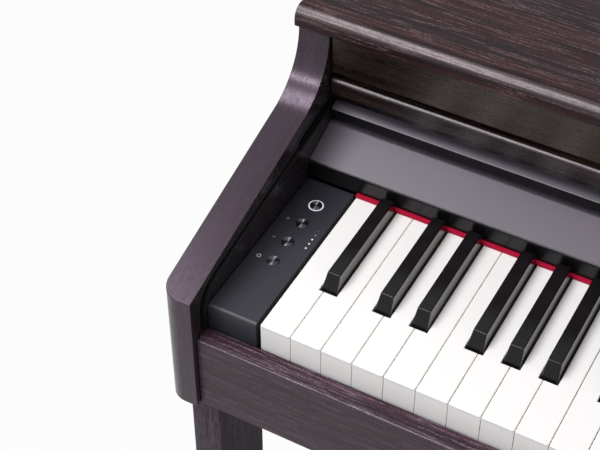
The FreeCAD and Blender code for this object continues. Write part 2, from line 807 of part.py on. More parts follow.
def key_frame():
    """The chassis under the keys: a stop rail in front and the ridge they pivot on."""
    rail = key_front + s.key_rail_distance
    key_bottom = key_level - s.key_depth
    y_back = pivot_y + s.pivot_ridge_width / 2
    wide = (-keyboard_half, keyboard_half)
    plate = box("key_frame_plate", wide, (rail, y_back), (bed_top, bed_top + s.frame_plate))
    stop = box("key_stop_rail", wide, (rail, rail + s.key_rail_width), (bed_top, key_bottom - s.key_dip))
    pivot = box(
        "key_pivot_ridge", wide, (y_back - s.pivot_ridge_width, y_back), (bed_top, key_bottom - s.running_gap)
    )
    ends = [
        box(
            f"key_frame_end_{number}",
            (x, x + s.frame_plate),
            (rail, y_back),
            (bed_top, key_bottom - s.key_dip),
        )
        for number, x in enumerate((-keyboard_half, keyboard_half - s.frame_plate))
    ]
    return fuse("key_frame", [plate, stop, pivot, *ends])


# Control blocks, one at each end of the keys.

button_x = -(keyboard_half + s.block_gap + inner - s.block_end_gap) / 2
BUTTONS = ["function_button", "volume_down_button", "volume_up_button", "power_button"]


def button_y(number):
    return key_front + s.button_distance + s.button_pitch * number


# The switch board runs from one button spacing in front of the buttons to the block's back wall.
board_front = button_y(-1)
board_back = panel_face - s.block_wall - s.board_gap


def lamp_places():
    """Five lamps in a row beside the two volume buttons."""
    x = -(keyboard_half + s.block_gap + s.lamp_inset)
    middle = (button_y(1) + button_y(2)) / 2
    return [(x, middle + s.lamp_pitch * step) for step in (-2, -1, 0, 1, 2)]


def block_shell(name):
    """A moulding open below, standing on the key bed."""
    low, high = -(inner - s.block_end_gap), -(keyboard_half + s.block_gap)
    y_front = key_front - s.block_overhang
    outline = [
        (y_front, bed_top),
        (y_front, key_level),
        (panel_face, key_level),
        (panel_face, bed_top),
    ]
    shell = profile(name + "_outside", outline, (low, high))
    ease(shell, s.block_radius, {"y": y_front, "z": key_level})
    hollow = box(
        name + "_inside",
        (low + s.block_wall, high - s.block_wall),
        (y_front + s.block_wall, panel_face - s.block_wall),
        (bed_top, key_level - s.block_wall),
    )
    return shell, hollow


def left_control_block():
    shell, hollow = block_shell("left_block")
    under = key_level - s.block_wall
    sizes = [s.button_radius + s.button_clearance] * 3
    sizes.append(s.button_radius + s.button_clearance + s.ring_width)
    holes = [
        rod(f"button_hole_{number}", "z", (button_x, button_y(number), under), radius, s.block_wall)
        for number, radius in enumerate(sizes)
    ]
    holes += [
        rod(f"lamp_hole_{number}", "z", (x, y, under), s.lamp_radius, s.block_wall)
        for number, (x, y) in enumerate(lamp_places())
    ]
    moulding = cut("left_block_moulding", shell, [hollow, *holes])
    boss_length = s.board_drop - s.block_wall
    boss_z = key_level - s.board_drop
    bosses = [
        rod(f"board_boss_{number}", "z", (button_x, y, boss_z), s.boss_radius, boss_length)
        for number, y in enumerate((board_front + s.boss_inset, board_back - s.boss_inset))
    ]
    return fuse("left_control_block", [moulding, *bosses])


def right_control_block():
    shell, hollow = block_shell("right_block")
    return mirror("right_control_block", cut("right_block_moulding", shell, [hollow]))


def button_board():
    """The circuit board that the buttons press on and the lamps stand on."""
    side = inner - s.block_end_gap - s.block_wall - s.board_gap
    other = keyboard_half + s.block_gap + s.block_wall + s.board_gap
    top = key_level - s.board_drop
    return box(
        "button_board",
        (-side, -other),
        (board_front, board_back),
        (top - s.board_thickness, top),
    )


def indicator_lamps():
    """The volume lamps and the lit ring round the power button."""
    foot = key_level - s.board_drop
    lamps = [
        rod(f"volume_lamp_{number}", "z", (x, y, foot), s.lamp_radius, s.board_drop + s.lamp_proud)
        for number, (x, y) in enumerate(lamp_places())
    ]
    start = (button_x, button_y(3), key_level - s.block_wall)
    inside = s.button_radius + s.button_clearance
    thickness = s.block_wall + s.lamp_proud
    disc = rod("power_ring_disc", "z", start, inside + s.ring_width, thickness)
    ring = cut("power_ring", disc, [rod("power_ring_hole", "z", start, inside, thickness)])
    return collect("indicator_lamps", [*lamps, ring])


def button(number):
    """A round cap with a flange that holds it under the block's top."""
    name = BUTTONS[number]
    top = key_level + s.button_proud
    cap_start = (button_x, button_y(number), top - s.button_length)
    cap = rod(name + "_cap", "z", cap_start, s.button_radius, s.button_length)
    flange_z = key_level - s.block_wall - s.running_gap - s.button_flange_thickness
    flange_start = (button_x, button_y(number), flange_z)
    flange = rod(name + "_flange", "z", flange_start, s.button_flange, s.button_flange_thickness)
    return fuse(name, [cap, flange])


# Sliding key lid.

def lid_board():
    """A board on the lid's slope, with three bearing blocks under its back edge."""
    outline = [
        (lid_front, lid_low),
        (lid_front, lid_top),
        (lid_back, lid_top + s.lid_length * rise),
        (lid_back, lid_low + s.lid_length * rise),
    ]
    board = profile("lid_plank", outline, (-lid_end, lid_end))
    ease(board, s.lid_radius, {"y": lid_front, "z": lid_top})
    shaft_y, shaft_z = on_slope(shaft_spacing, 0)
    under = shaft_z - s.shaft_radius - s.bearing_wall
    inside = lid_low + (shaft_y - lid_front) * rise + s.lid_thickness / 2
    ends = lid_end - s.bearing_inset - s.bearing_width / 2
    blocks = [
        box(
            f"bearing_block_{number}",
            (x - s.bearing_width / 2, x + s.bearing_width / 2),
            (shaft_y - s.shaft_radius - s.bearing_wall, lid_back),
            (under, inside),
        )
        for number, x in enumerate((-ends, as_size(0), ends))
    ]
    bore = rod(
        "shaft_bore", "x", (-lid_end, shaft_y, shaft_z), s.shaft_radius + s.shaft_clearance, lid_end * 2
    )
    return cut("lid_board", fuse("lid_blank", [board, *blocks]), [bore])


def lid_grip():
    """The moulding under the lid's front edge: a rail with a roller at each end, and a strip and a lip
    glued to its front, above and below the finger recess."""
    face = lid_front + s.grip_step
    top = lid_low + s.grip_step * rise
    strip = top - s.grip_strip
    lip = strip - s.grip_opening
    low = lid_low - s.grip_height
    deep = face + s.grip_recess
    outline = [
        (face, top),
        (face, strip),
        (deep, strip),
        (deep, lip + s.grip_lip_rise),
        (face, lip),
        (face, low),
        (face + s.grip_depth, low + s.grip_depth * rise),
        (face + s.grip_depth, top + s.grip_depth * rise),
    ]
    moulding = profile("lid_grip_moulding", outline, (-lid_end, lid_end))
    ease(moulding, s.grip_recess_radius, {"y": deep, "z": strip}, {"y": deep, "z": lip + s.grip_lip_rise})
    ease(moulding, s.grip_edge_radius, {"y": face, "z": lip}, {"y": face, "z": low}, {"y": face, "z": strip})
    seam = deep - s.grip_seam
    before, behind = (
        box(f"{place}_the_grip_seam", (-inner, inner), depth, (key_level, lid_top))
        for place, depth in (("before", (upper_front, seam)), ("behind", (seam, lid_back)))
    )
    reach = inner + s.track_depth - s.track_wall - s.running_gap - lid_end
    rollers = [
        rod(f"front_roller_{number}", "x", (x, roller_y, roller_z), front_roller_radius, reach)
        for number, x in enumerate((-lid_end - reach, lid_end))
    ]
    rail = fuse("lid_grip_rail", [cut("lid_grip_rail_blank", moulding, [before]), *rollers])
    return collect("lid_grip", [rail, cut("lid_grip_strip_and_lip", moulding, [behind])])


def lid_shaft():
    """A rod across the lid's back with a roller at each end, which keeps the lid square."""
    shaft_y, shaft_z = on_slope(shaft_spacing, 0)
    reach = inner + s.track_depth - s.track_wall - s.running_gap - lid_end
    shaft = rod("shaft_rod", "x", (-lid_end, shaft_y, shaft_z), s.shaft_radius, lid_end * 2)
    rollers = [
        rod(f"rear_roller_{number}", "x", (x, shaft_y, shaft_z), roller_radius, reach)
        for number, x in enumerate((-lid_end - reach, lid_end))
    ]
    return fuse("lid_shaft", [shaft, *rollers])


# Keys. Each note name is one sub-part: its keys in every octave.

WHITE_NAMES = ["c", "d", "e", "f", "g", "a", "b"]
LOWEST_WHITE = WHITE_NAMES.index("a")
# Black keys by the white key on their left, and how far each stands off the line between whites.
BLACK_SHIFTS = {"c": -2.3, "d": 2.3, "f": -3.4, "g": 0, "a": 3.4}


def white_name(index):
    """The name of a white key counted from the bass end."""
    return WHITE_NAMES[(index + LOWEST_WHITE) % len(WHITE_NAMES)]


def white_left(index):
    """The left side of a white key's share of the keyboard."""
    return float(s.white_pitch) * index - float(keyboard_half)


def black_centre(index):
    """The middle of the black key on the right of a white key, or None where there is none."""
    name = white_name(index)
    if not 0 <= index < white_count - 1 or name not in BLACK_SHIFTS:
        return None
    return white_left(index + 1) + BLACK_SHIFTS[name]


def solid_box(x, y, z):
    """A box between two limits along each axis, as a bare shape."""
    return Part.makeBox(x[1] - x[0], y[1] - y[0], z[1] - z[0], Vector(x[0], y[0], z[0]))


def white_key(index):
    """A key with a rounded top plate, a set-back front face and tails cut for its black neighbours."""
    y, top = float(key_front), float(key_level)
    y_back = y + float(s.key_length)
    y_notch = y + float(s.black_setback) - float(s.black_front_gap)
    left = white_left(index) + float(s.key_gap) / 2
    right = white_left(index + 1) - float(s.key_gap) / 2
    half_slot = float(s.black_slot) / 2
    before, after = black_centre(index - 1), black_centre(index)
    tail_left = left if before is None else before + half_slot
    tail_right = right if after is None else after - half_slot
    outline = [(left, y), (right, y)]
    if after is not None:
        outline += [(right, y_notch), (tail_right, y_notch)]
    outline += [(tail_right, y_back), (tail_left, y_back)]
    if before is not None:
        outline += [(tail_left, y_notch), (left, y_notch)]
    corners = [Vector(*corner, top - float(s.key_depth)) for corner in outline]
    stick = Part.Face(Part.makePolygon([*corners, corners[0]])).extrude(Vector(0, 0, float(s.key_depth)))
    uprights = [
        edge
        for edge in stick.Edges
        if all(abs(vertex.Y - y) < 1e-3 for vertex in edge.Vertexes) and abs(edge.CenterOfMass.z - top) > 1
        and len({round(vertex.X, 3) for vertex in edge.Vertexes}) == 1
    ]
    stick = stick.makeFillet(float(s.key_corner_radius), uprights)
    upper = [edge for edge in stick.Edges if all(abs(vertex.Z - top) < 1e-3 for vertex in edge.Vertexes)]
    stick = stick.makeFillet(float(s.key_edge_radius), upper)
    lip_z = top - float(s.key_lip_thickness)
    face = y + float(s.key_lip)
    recess = solid_box((left - 1, right + 1), (y - 1, face), (top - float(s.key_depth) - 1, lip_z))
    skirt = solid_box(
        (left, right), (face, face + float(s.key_skirt_thickness)), (top - float(s.key_skirt_depth), lip_z)
    )
    return stick.cut(recess).fuse(skirt).removeSplitter()


def black_key(index):
    """A raised, tapered block with a raked front, on a stick that runs back under the panel."""
    centre = black_centre(index)
    y = float(key_front) + float(s.black_setback)
    y_end = float(key_front) + float(black_end)
    low = float(key_level) - float(s.black_sink)
    high = float(key_level) + float(s.black_rise)

    def ring(half, y_front, z):
        corners = [(-half, y_front), (half, y_front), (half, y_end), (-half, y_end), (-half, y_front)]
        return Part.makePolygon([Vector(centre + x, corner_y, z) for x, corner_y in corners])

    half_base, half_top = float(s.black_base_width) / 2, float(s.black_top_width) / 2
    rings = [ring(half_base, y, low), ring(half_top, y + float(s.black_rake), high)]
    block = Part.makeLoft(rings, True, True)
    upper = [edge for edge in block.Edges if abs(edge.CenterOfMass.z - high) < 1e-3]
    raked = [
        edge
        for edge in block.Edges
        if max(vertex.Y for vertex in edge.Vertexes) < y + float(s.black_rake) + 1e-3
        and max(vertex.Z for vertex in edge.Vertexes) - min(vertex.Z for vertex in edge.Vertexes) > 1
    ]
    block = block.makeFillet(float(s.black_edge_radius), upper + raked)
    stick = solid_box(
        (centre - half_base, centre + half_base),
        (y, float(key_front) + float(s.key_length)),
        (float(key_level) - float(s.key_depth), low),
    )
    return block.fuse(stick).removeSplitter()


def key_group(name, shapes):
    """One note's keys in every octave, as separate solids."""
    piece = doc.addObject("Part::Feature", name)
    piece.Label = name
    piece.Shape = Part.makeCompound(shapes)
    piece.Placement = Placement()
    return piece


def key_groups():
    groups = []
    for name in WHITE_NAMES:
        whites = [index for index in range(white_count) if white_name(index) == name]
        groups.append(key_group(f"keys_{name}", [white_key(index) for index in whites]))
        blacks = [index for index in whites if black_centre(index) is not None]
        if blacks:
            groups.append(key_group(f"keys_{name}_sharp", [black_key(index) for index in blacks]))
    return groups


# Sound and sockets.

def speaker(name, x, y):
    """A driver over its hole in the key bed, facing down."""
    inside = s.speaker_hole - s.cone_lip
    magnet_low = s.speaker_height - s.speaker_magnet_height
    driver = spin(
        name,
        [
            (inside, as_size(0)),
            (s.speaker_radius, as_size(0)),
            (s.speaker_radius, s.speaker_flange),
            (s.speaker_hole, s.speaker_flange),
            (s.speaker_magnet, magnet_low),
            (s.speaker_magnet, s.speaker_height),
            (as_size(0), s.speaker_height),
            (as_size(0), s.cone_depth),
            (s.cone_cap, s.cone_depth),
        ],
    )
    place(driver, x, y, bed_top)
    return driver


def grille(name, x, y):
    """A round plate with a hexagonal pattern of holes, under the key bed."""
    radius, hole, pitch = float(s.grille_radius), float(s.grille_hole), float(s.grille_pitch)
    thickness = float(s.grille_thickness)
    plate = Part.makeCylinder(radius, thickness)
    rows = int(radius / (pitch * math.sin(math.radians(60))))
    holes = []
    for row in range(-rows, rows + 1):
        hole_y = row * pitch * math.sin(math.radians(60))
        for column in range(-rows, rows + 1):
            hole_x = (column + row % 2 / 2) * pitch
            if math.hypot(hole_x, hole_y) < float(s.speaker_hole) - hole:
                holes.append(Part.makeCylinder(hole, thickness, Vector(hole_x, hole_y, 0)))
    piece = doc.addObject("Part::Feature", name)
    piece.Label = name
    piece.Shape = plate.cut(Part.makeCompound(holes))
    place(piece, x, y, s.underside_height - s.grille_thickness)
    return piece


def headphone_box():
    """Two headphone sockets under the key bed, facing the player."""
    y = key_front + s.jack_box_setback
    low = s.underside_height - s.jack_box_height
    middle = s.jack_box_inset - inner
    block = box(
        "headphone_block",
        (middle - s.jack_box_width / 2, middle + s.jack_box_width / 2),
        (y, y + s.jack_box_depth),
        (low, s.underside_height),
    )
    sockets = [
        rod(
            f"headphone_socket_{number}",
            "y",
            (middle + s.jack_pitch * side, y, low + s.jack_box_height / 2),
            s.jack_radius,
            s.jack_depth,
        )
        for number, side in enumerate((-0.5, 0.5))
    ]
    return cut("headphone_box", block, sockets)


def headphone_hook():
    """A hook under the key bed, open towards the player."""
    y = key_front + s.hook_setback
    y_back = y + s.hook_reach
    top = s.underside_height
    low = top - s.hook_drop
    wall = s.hook_wall
    outline = [
        (y, top),
        (y_back, top),
        (y_back, low),
        (y, low),
        (y, low + s.hook_lip),
        (y + wall, low + s.hook_lip),
        (y + wall, low + wall),
        (y_back - wall, low + wall),
        (y_back - wall, top - wall),
        (y, top - wall),
    ]
    middle = s.hook_inset - inner
    return profile("headphone_hook", outline, (middle - s.hook_width / 2, middle + s.hook_width / 2))


# Stand.

foot_top = s.glide_height + s.foot_height


def front_leg():
    y = front + s.leg_setback
    outline = [
        (y, foot_top),
        (y, s.underside_height),
        (y + s.leg_depth, s.underside_height),
        (y + s.leg_depth, foot_top),
    ]
    leg = profile("left_front_leg", outline, (-side_outer, -inner))
    ease(leg, s.leg_corner_radius, {"x": -side_outer, "y": y})
    return leg


def stand_side():
    return box(
        "left_stand_side",
        (-side_outer, -inner),
        (rear_face - s.stand_side_depth, rear_face),
        (foot_top, s.underside_height),
    )


def foot():
    y = front + s.foot_setback
    outline = [(y, s.glide_height), (y, foot_top), (back, foot_top), (back, s.glide_height)]
    rail = profile("left_foot", outline, (-half_width, -half_width + s.foot_width))
    ease(rail, s.foot_radius, {"y": y, "z": foot_top}, {"y": back, "z": foot_top})
    return rail


def floor_glides():
    y_front = front + s.foot_setback + s.glide_inset
    y_back = back - s.glide_inset
    middle = half_width - s.foot_width / 2
    places = [(x, y) for x in (-middle, middle) for y in (y_front, y_back)]
    glides = [
        rod(f"floor_glide_{number}", "z", (x, y, 0), s.glide_radius, s.glide_height)
        for number, (x, y) in enumerate(places)
    ]
    return collect("floor_glides", glides)


def back_board():
    y_back = rear_face - s.back_board_thickness
    high = s.underside_height - s.back_board_drop
    return box(
        "back_board",
        (-inner, inner),
        (y_back - s.back_board_thickness, y_back),
        (high - s.back_board_height, high),
    )


# Pedals.

box_front = rear_face - s.pedal_box_inset - s.pedal_box_depth
pedal_y = box_front + s.pedal_pivot_setback
PEDALS = {"left_pedal": -1, "middle_pedal": 0, "right_pedal": 1}


def adjuster_place():
    return box_front + s.pedal_box_wall + s.adjuster_boss_width / 2


def pedal_box():
    """A trough between the feet, open below, with ribs and a rod that the pedals hinge on."""
    end = half_width - s.foot_width
    wall = s.pedal_box_wall
    low, high = s.pedal_box_level, s.pedal_box_level + s.pedal_box_height
    y_back = box_front + s.pedal_box_depth
    outside = box("pedal_box_outside", (-end, end), (box_front, y_back), (low, high))
    inside = box(
        "pedal_box_inside", (-end + wall, end - wall), (box_front + wall, y_back - wall), (low, high - wall)
    )
    half_slot = s.pedal_neck / 2 + s.pedal_side_gap
    slots = [
        box(
            f"{name}_slot",
            (s.pedal_pitch * side - half_slot, s.pedal_pitch * side + half_slot),
            (box_front, box_front + wall),
            (s.pedal_level - s.pedal_slot_drop, s.pedal_level + s.pedal_slot_rise),
        )
        for name, side in PEDALS.items()
    ]
    trough = cut("pedal_box_trough", outside, [inside, *slots])
    ribs = [
        box(
            f"pedal_rib_{number}",
            (s.pedal_pitch * side - s.pedal_rib / 2, s.pedal_pitch * side + s.pedal_rib / 2),
            (box_front + wall / 2, y_back - wall / 2),
            (s.pedal_level - s.pedal_slot_drop, high - wall / 2),
        )
        for number, side in enumerate((-1.5, -0.5, 0.5, 1.5))
    ]
    reach = s.pedal_pitch * 1.5
    pivot = rod("pedal_rod", "x", (-reach, pedal_y, s.pedal_level), s.pedal_pivot_radius, reach * 2)
    half_boss = s.adjuster_boss_width / 2
    boss = box(
        "adjuster_block",
        (-half_boss, half_boss),
        (box_front, box_front + wall + s.adjuster_boss_width),
        (low, low + s.adjuster_boss),
    )
    joined = fuse("pedal_box_joined", [trough, *ribs, pivot, boss])
    thread = rod(
        "adjuster_hole",
        "z",
        (0, adjuster_place(), low),
        s.adjuster_stem + s.adjuster_clearance,
        s.adjuster_boss,
    )
    return cut("pedal_box", joined, [thread])


def pedal(name, side):
    """A metal lever: a narrow neck out of the box and a broad rounded tip."""
    x = s.pedal_pitch * side
    half_neck, half_tip = s.pedal_neck / 2, s.pedal_width / 2
    tip = pedal_y - s.pedal_length
    shoulder = tip + s.pedal_tip_length
    outline = [
        (x - half_tip, tip),
        (x + half_tip, tip),
        (x + half_tip, shoulder),
        (x + half_neck, shoulder + half_tip),
        (x + half_neck, pedal_y + s.pedal_tail),
        (x - half_neck, pedal_y + s.pedal_tail),
        (x - half_neck, shoulder + half_tip),
        (x - half_tip, shoulder),
    ]
    low = s.pedal_level - s.pedal_thickness / 2
    lever = profile(name + "_lever", outline, (low, low + s.pedal_thickness), "XY_Plane")
    ease(lever, s.pedal_tip_radius, {"x": x - half_tip, "y": tip}, {"x": x + half_tip, "y": tip})
    ease(
        lever,
        s.pedal_shoulder_radius,
        {"x": x - half_tip, "y": shoulder},
        {"x": x + half_tip, "y": shoulder},
        {"x": x - half_neck, "y": shoulder + half_tip},
        {"x": x + half_neck, "y": shoulder + half_tip},
    )
    start = (x - half_neck, pedal_y, s.pedal_level)
    hub = rod(name + "_hub", "x", start, s.pedal_hub_radius, s.pedal_neck)
    bore_radius = s.pedal_pivot_radius + s.pedal_pivot_clearance
    bore = rod(name + "_bore", "x", start, bore_radius, s.pedal_neck)
    return cut(name, fuse(name + "_blank", [lever, hub]), [bore])


def pedal_adjuster():
    """A screw foot that steadies the pedal box on the floor."""
    y = adjuster_place()
    knob = rod("adjuster_knob", "z", (0, y, 0), s.adjuster_radius, s.adjuster_foot)
    stem = rod("adjuster_screw", "z", (0, y, s.adjuster_foot), s.adjuster_stem, s.adjuster_stem_length)
    return fuse("pedal_adjuster", [knob, stem])


# Music rest.

hinge_y = upper_front + s.rest_setback
hinge_z = cabinet_top + s.hinge_height
hinge_reach = s.rest_width / 2 - s.hinge_inset


def lean_back(piece):
    """Sets a piece drawn flat about the hinge line up at the music rest's angle."""
    tilt(piece, s.rest_lean)
    place(piece, 0, hinge_y, hinge_z)


def music_rest():
    """A board on two hinges, with a ledge in front and lugs for the stay behind.

    It is drawn lying flat, with the hinge line as its origin.
    """
    half = s.rest_width / 2
    skin = s.rest_thickness / 2
    foot_of_board = skin + s.pin_clearance
    outline = [(-half, foot_of_board), (half, foot_of_board), (half, s.rest_height), (-half, s.rest_height)]
    board = profile("music_rest_board", outline, (-skin, skin), "XY_Plane")
    ease(
        board,
        s.rest_corner_radius,
        {"x": -half, "y": s.rest_height},
        {"x": half, "y": s.rest_height},
    )
    ledge_low = foot_of_board + s.rest_ledge_thickness
    ledge = box(
        "music_ledge",
        (-half + s.rest_corner_radius, half - s.rest_corner_radius),
        (ledge_low, ledge_low + s.rest_ledge_thickness),
        (0, skin + s.rest_ledge),
    )
    pieces = [board, ledge]
    bores = []
    for number, x in enumerate((-hinge_reach, hinge_reach)):
        low = x - s.hinge_knuckle / 2
        pieces.append(rod(f"rest_knuckle_{number}", "x", (low, 0, 0), s.hinge_radius, s.hinge_knuckle))
        web = (0, foot_of_board + s.rest_ledge_thickness)
        half_web = s.hinge_leaf_thickness
        pieces.append(box(f"rest_web_{number}", (low, low + s.hinge_knuckle), web, (-half_web, half_web)))
        bore_radius = s.hinge_pin_radius + s.pin_clearance
        bores.append(rod(f"rest_bore_{number}", "x", (low, 0, 0), bore_radius, s.hinge_knuckle))
    for number, side in enumerate((-1, 1)):
        near = (s.stay_width / 2 + s.running_gap) * side
        far = near + s.stay_lug * side
        x = (near, far) if side > 0 else (far, near)
        pieces.append(
            box(
                f"stay_lug_{number}",
                x,
                (s.stay_reach - s.stay_lug_reach, s.stay_reach + s.stay_lug_reach),
                (-s.stay_stand_off - s.stay_eye_radius, 0),
            )
        )
        length = s.stay_lug / 2 + s.stay_pin_length
        start_x = near - s.stay_lug / 2 if side < 0 else near - s.stay_pin_length
        start = (start_x, s.stay_reach, -s.stay_stand_off)
        pieces.append(rod(f"stay_pin_{number}", "x", start, s.stay_pin_radius, length))
    rest = cut("music_rest", fuse("music_rest_blank", pieces), bores)
    lean_back(rest)
    return rest


def music_rest_stay():
    """The prop behind the music rest: an eye, a plate and a rounded foot on the top board.

    It is as long as its pivot is far from the music rest's hinge, so its foot stays at the
    hinge's height while both fold down.
    """
    length = root(s.stay_reach * s.stay_reach + s.stay_stand_off * s.stay_stand_off)
    half = s.stay_width / 2
    eye = rod("stay_eye", "x", (-half, 0, 0), s.stay_eye_radius, s.stay_width)
    plate = box(
        "stay_plate", (-half, half), (0, length), (-s.stay_thickness / 2, s.stay_thickness / 2)
    )
    end = rod("stay_foot", "x", (-half, length, 0), s.stay_foot_radius, s.stay_width)
    bore = rod("stay_bore", "x", (-half, 0, 0), s.stay_pin_radius + s.pin_clearance, s.stay_width)
    stay = cut("music_rest_stay", fuse("stay_blank", [eye, plate, end]), [bore])
    tilt(stay, arctangent(s.stay_stand_off / s.stay_reach) - s.rest_lean)
    along, across = cosine(s.rest_lean), sine(s.rest_lean)
    y = hinge_y + s.stay_reach * along + s.stay_stand_off * across
    z = hinge_z + s.stay_reach * across - s.stay_stand_off * along
    place(stay, 0, y, z)
    return stay


def music_rest_hinges():
    """The hinges' fixed leaves, knuckles and pins, on the top board."""
    hinges = []
    gap = s.hinge_knuckle / 2 + s.running_gap
    half = s.hinge_width / 2
    for number, x in enumerate((-hinge_reach, hinge_reach)):
        leaf = box(
            f"hinge_leaf_{number}",
            (x - half, x + half),
            (hinge_y - s.hinge_leaf, hinge_y - s.hinge_radius),
            (cabinet_top, cabinet_top + s.hinge_leaf_thickness),
        )
        pieces = [leaf]
        for side, low, high in ((0, x - half, x - gap), (1, x + gap, x + half)):
            start = (low, hinge_y, hinge_z)
            pieces.append(rod(f"hinge_knuckle_{number}_{side}", "x", start, s.hinge_radius, high - low))
            pieces.append(
                box(
                    f"hinge_web_{number}_{side}",
                    (low, high),
                    (hinge_y - s.hinge_radius, hinge_y - s.hinge_radius + s.hinge_leaf_thickness),
                    (cabinet_top, hinge_z),
                )
            )
        pieces.append(
            rod(f"hinge_pin_{number}", "x", (x - half, hinge_y, hinge_z), s.hinge_pin_radius, s.hinge_width)
        )
        hinges.append(fuse(f"music_rest_hinge_{number}", pieces))
    return collect("music_rest_hinges", hinges)


# The whole instrument.

def build():
    """Makes every sub-part and returns them in one list."""
    left_pieces = {
        "right_side_panel": side_panel(),
        "right_lid_track": lid_track(),
        "right_front_leg": front_leg(),
        "right_stand_side": stand_side(),
        "right_foot": foot(),
    }
    parts = [*left_pieces.values()]
    parts += [mirror(name, piece) for name, piece in left_pieces.items()]
    parts += [top_board(), upper_front_panel(), rear_panel(), rear_screws(), connector_panel()]
    parts += [key_bed(), key_slip(), main_circuit_board()]
    parts += [name_board(), key_felt(), key_frame(), *key_groups()]
    parts += [left_control_block(), right_control_block(), button_board(), indicator_lamps()]
    parts += [button(number) for number in range(len(BUTTONS))]
    parts += [lid_board(), lid_grip(), lid_shaft()]
    for side, (x, y) in zip(("left", "right"), speaker_places()):
        parts += [speaker(f"{side}_speaker", x, y), grille(f"{side}_speaker_grille", x, y)]
    parts += [headphone_box(), headphone_hook(), floor_glides(), back_board(), pedal_box()]
    parts += [pedal(name, side) for name, side in PEDALS.items()]
    parts += [pedal_adjuster(), music_rest_hinges(), music_rest(), music_rest_stay()]
    return parts


def check_and_export(parts):
    """Refuses a failed object or an unsound shape, then writes one file for each sub-part."""
    doc.recompute()
    for piece in doc.Objects:
        if "Invalid" in piece.State or "Error" in piece.State:
            raise RuntimeError(f"{piece.Label} failed: {piece.State}")
    for piece in parts:
        if piece.Shape.isNull() or not piece.Shape.isValid() or not piece.Shape.Solids:
            raise RuntimeError(f"{piece.Label} has no sound shape")
    os.makedirs("parts", exist_ok=True)
    for piece in parts:
        piece.Shape.exportStep(f"parts/{piece.Label}.step")
    print(len(parts), "sub-parts written")


check_and_export(build())
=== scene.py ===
# %% [markdown]
# # A digital piano on its stand
#
# The model arrives as sixty measured parts in one shared frame, in metres, with the keys facing -Y.
# This lesson gives each part its finish, adds the small things that a drawing of the cabinet leaves out, and
# lights the whole as a studio would. The parts keep their size and place. Only their edges are eased.

import math
import random

import bmesh
import bpy
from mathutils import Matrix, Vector


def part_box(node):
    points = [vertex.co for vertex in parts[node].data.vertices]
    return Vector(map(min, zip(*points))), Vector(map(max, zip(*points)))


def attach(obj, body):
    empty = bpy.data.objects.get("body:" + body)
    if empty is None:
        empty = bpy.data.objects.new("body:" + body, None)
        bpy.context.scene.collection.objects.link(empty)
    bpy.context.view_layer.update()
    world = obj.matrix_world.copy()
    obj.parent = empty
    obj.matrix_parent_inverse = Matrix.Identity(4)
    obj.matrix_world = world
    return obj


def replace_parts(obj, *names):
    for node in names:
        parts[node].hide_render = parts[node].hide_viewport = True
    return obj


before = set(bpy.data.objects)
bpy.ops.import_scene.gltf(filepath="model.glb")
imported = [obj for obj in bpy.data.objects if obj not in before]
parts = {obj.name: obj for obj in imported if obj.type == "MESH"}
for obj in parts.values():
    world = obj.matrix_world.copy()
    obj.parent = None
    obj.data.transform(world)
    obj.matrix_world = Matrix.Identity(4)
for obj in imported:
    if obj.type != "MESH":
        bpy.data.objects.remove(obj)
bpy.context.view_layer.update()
random.seed(88)

# %% [markdown]
# ## Sums on a surface
#
# A finish changes from place to place: grain runs along a board, pores dent it. Blender builds that from
# nodes, one for each sum. Wiring each Math node by hand would hide the sum, and `1 - pore` is easy to read.
# So a small class wraps an output socket and turns Python's signs into Math nodes. The flipped forms are
# there too, for a number on the left. Colours never go through it, because a Math node turns them grey: they
# are blended by Mix nodes.

# %% One value on a surface
class Value:
    """Something a finish works out at each place of a surface."""

    def __init__(self, finish, socket):
        self.finish, self.socket = finish, socket

    def work(self, operation, *terms):
        return self.finish.node("ShaderNodeMath", {"operation": operation}, dict(enumerate(terms)))

    def __add__(self, other):
        return self.work("ADD", self, other)

    def __sub__(self, other):
        return self.work("SUBTRACT", self, other)

    def __rsub__(self, other):
        return self.work("SUBTRACT", other, self)

    def __mul__(self, other):
        return self.work("MULTIPLY", self, other)

    __radd__, __rmul__ = __add__, __mul__

    def __truediv__(self, other):
        return self.work("DIVIDE", self, other)

    def __rtruediv__(self, other):
        return self.work("DIVIDE", other, self)

    def __pow__(self, other):
        return self.work("POWER", self, other)

    def __rpow__(self, other):
        return self.work("POWER", other, self)

    def __abs__(self):
        return self.work("ABSOLUTE", self)

    def above(self, edge, soft):
        """0 below an edge, 1 above it, with a soft step between."""
        inputs = {"Value": self, "From Min": edge - soft, "From Max": edge + soft}
        return self.finish.node("ShaderNodeMapRange", {"interpolation_type": "SMOOTHSTEP"}, inputs)


print("a value understands:", [name.strip("_") for name in vars(Value) if callable(getattr(Value, name))])

# %% [markdown]
# A `Finish` is one material being written. Its `node` method is the only way in: it takes the kind of node,
# its settings, and then numbers or other values for its sockets. A number that is the same all over goes
# straight onto the shader's own socket with `surface`, because an export keeps it there and may lose it
# behind a node.

# %% One material being written
class Finish:
    """A material, or the world around the piano, written node by node."""

    def __init__(self, name, kept_in=bpy.data.materials):
        self.material = kept_in.new(name)
        self.material.use_nodes = True
        self.tree = self.material.node_tree
        self.shader = next(n for n in self.tree.nodes if n.type in ("BSDF_PRINCIPLED", "BACKGROUND"))

    def feed(self, socket, value):
        if isinstance(value, Value):
            self.tree.links.new(value.socket, socket)
        else:
            socket.default_value = value

    def node(self, kind, settings, inputs, output=0):
        node = self.tree.nodes.new(kind)
        for name, value in settings.items():
            setattr(node, name, value)
        for name, value in inputs.items():
            self.feed(node.inputs[name], value)
        return Value(self, node.outputs[output])

    def surface(self, **looks):
        for name, value in looks.items():
            self.feed(self.shader.inputs[name.replace("_", " ")], value)
        return self.material


print("ways to write a finish:", [name for name in vars(Finish) if not name.startswith("_")])

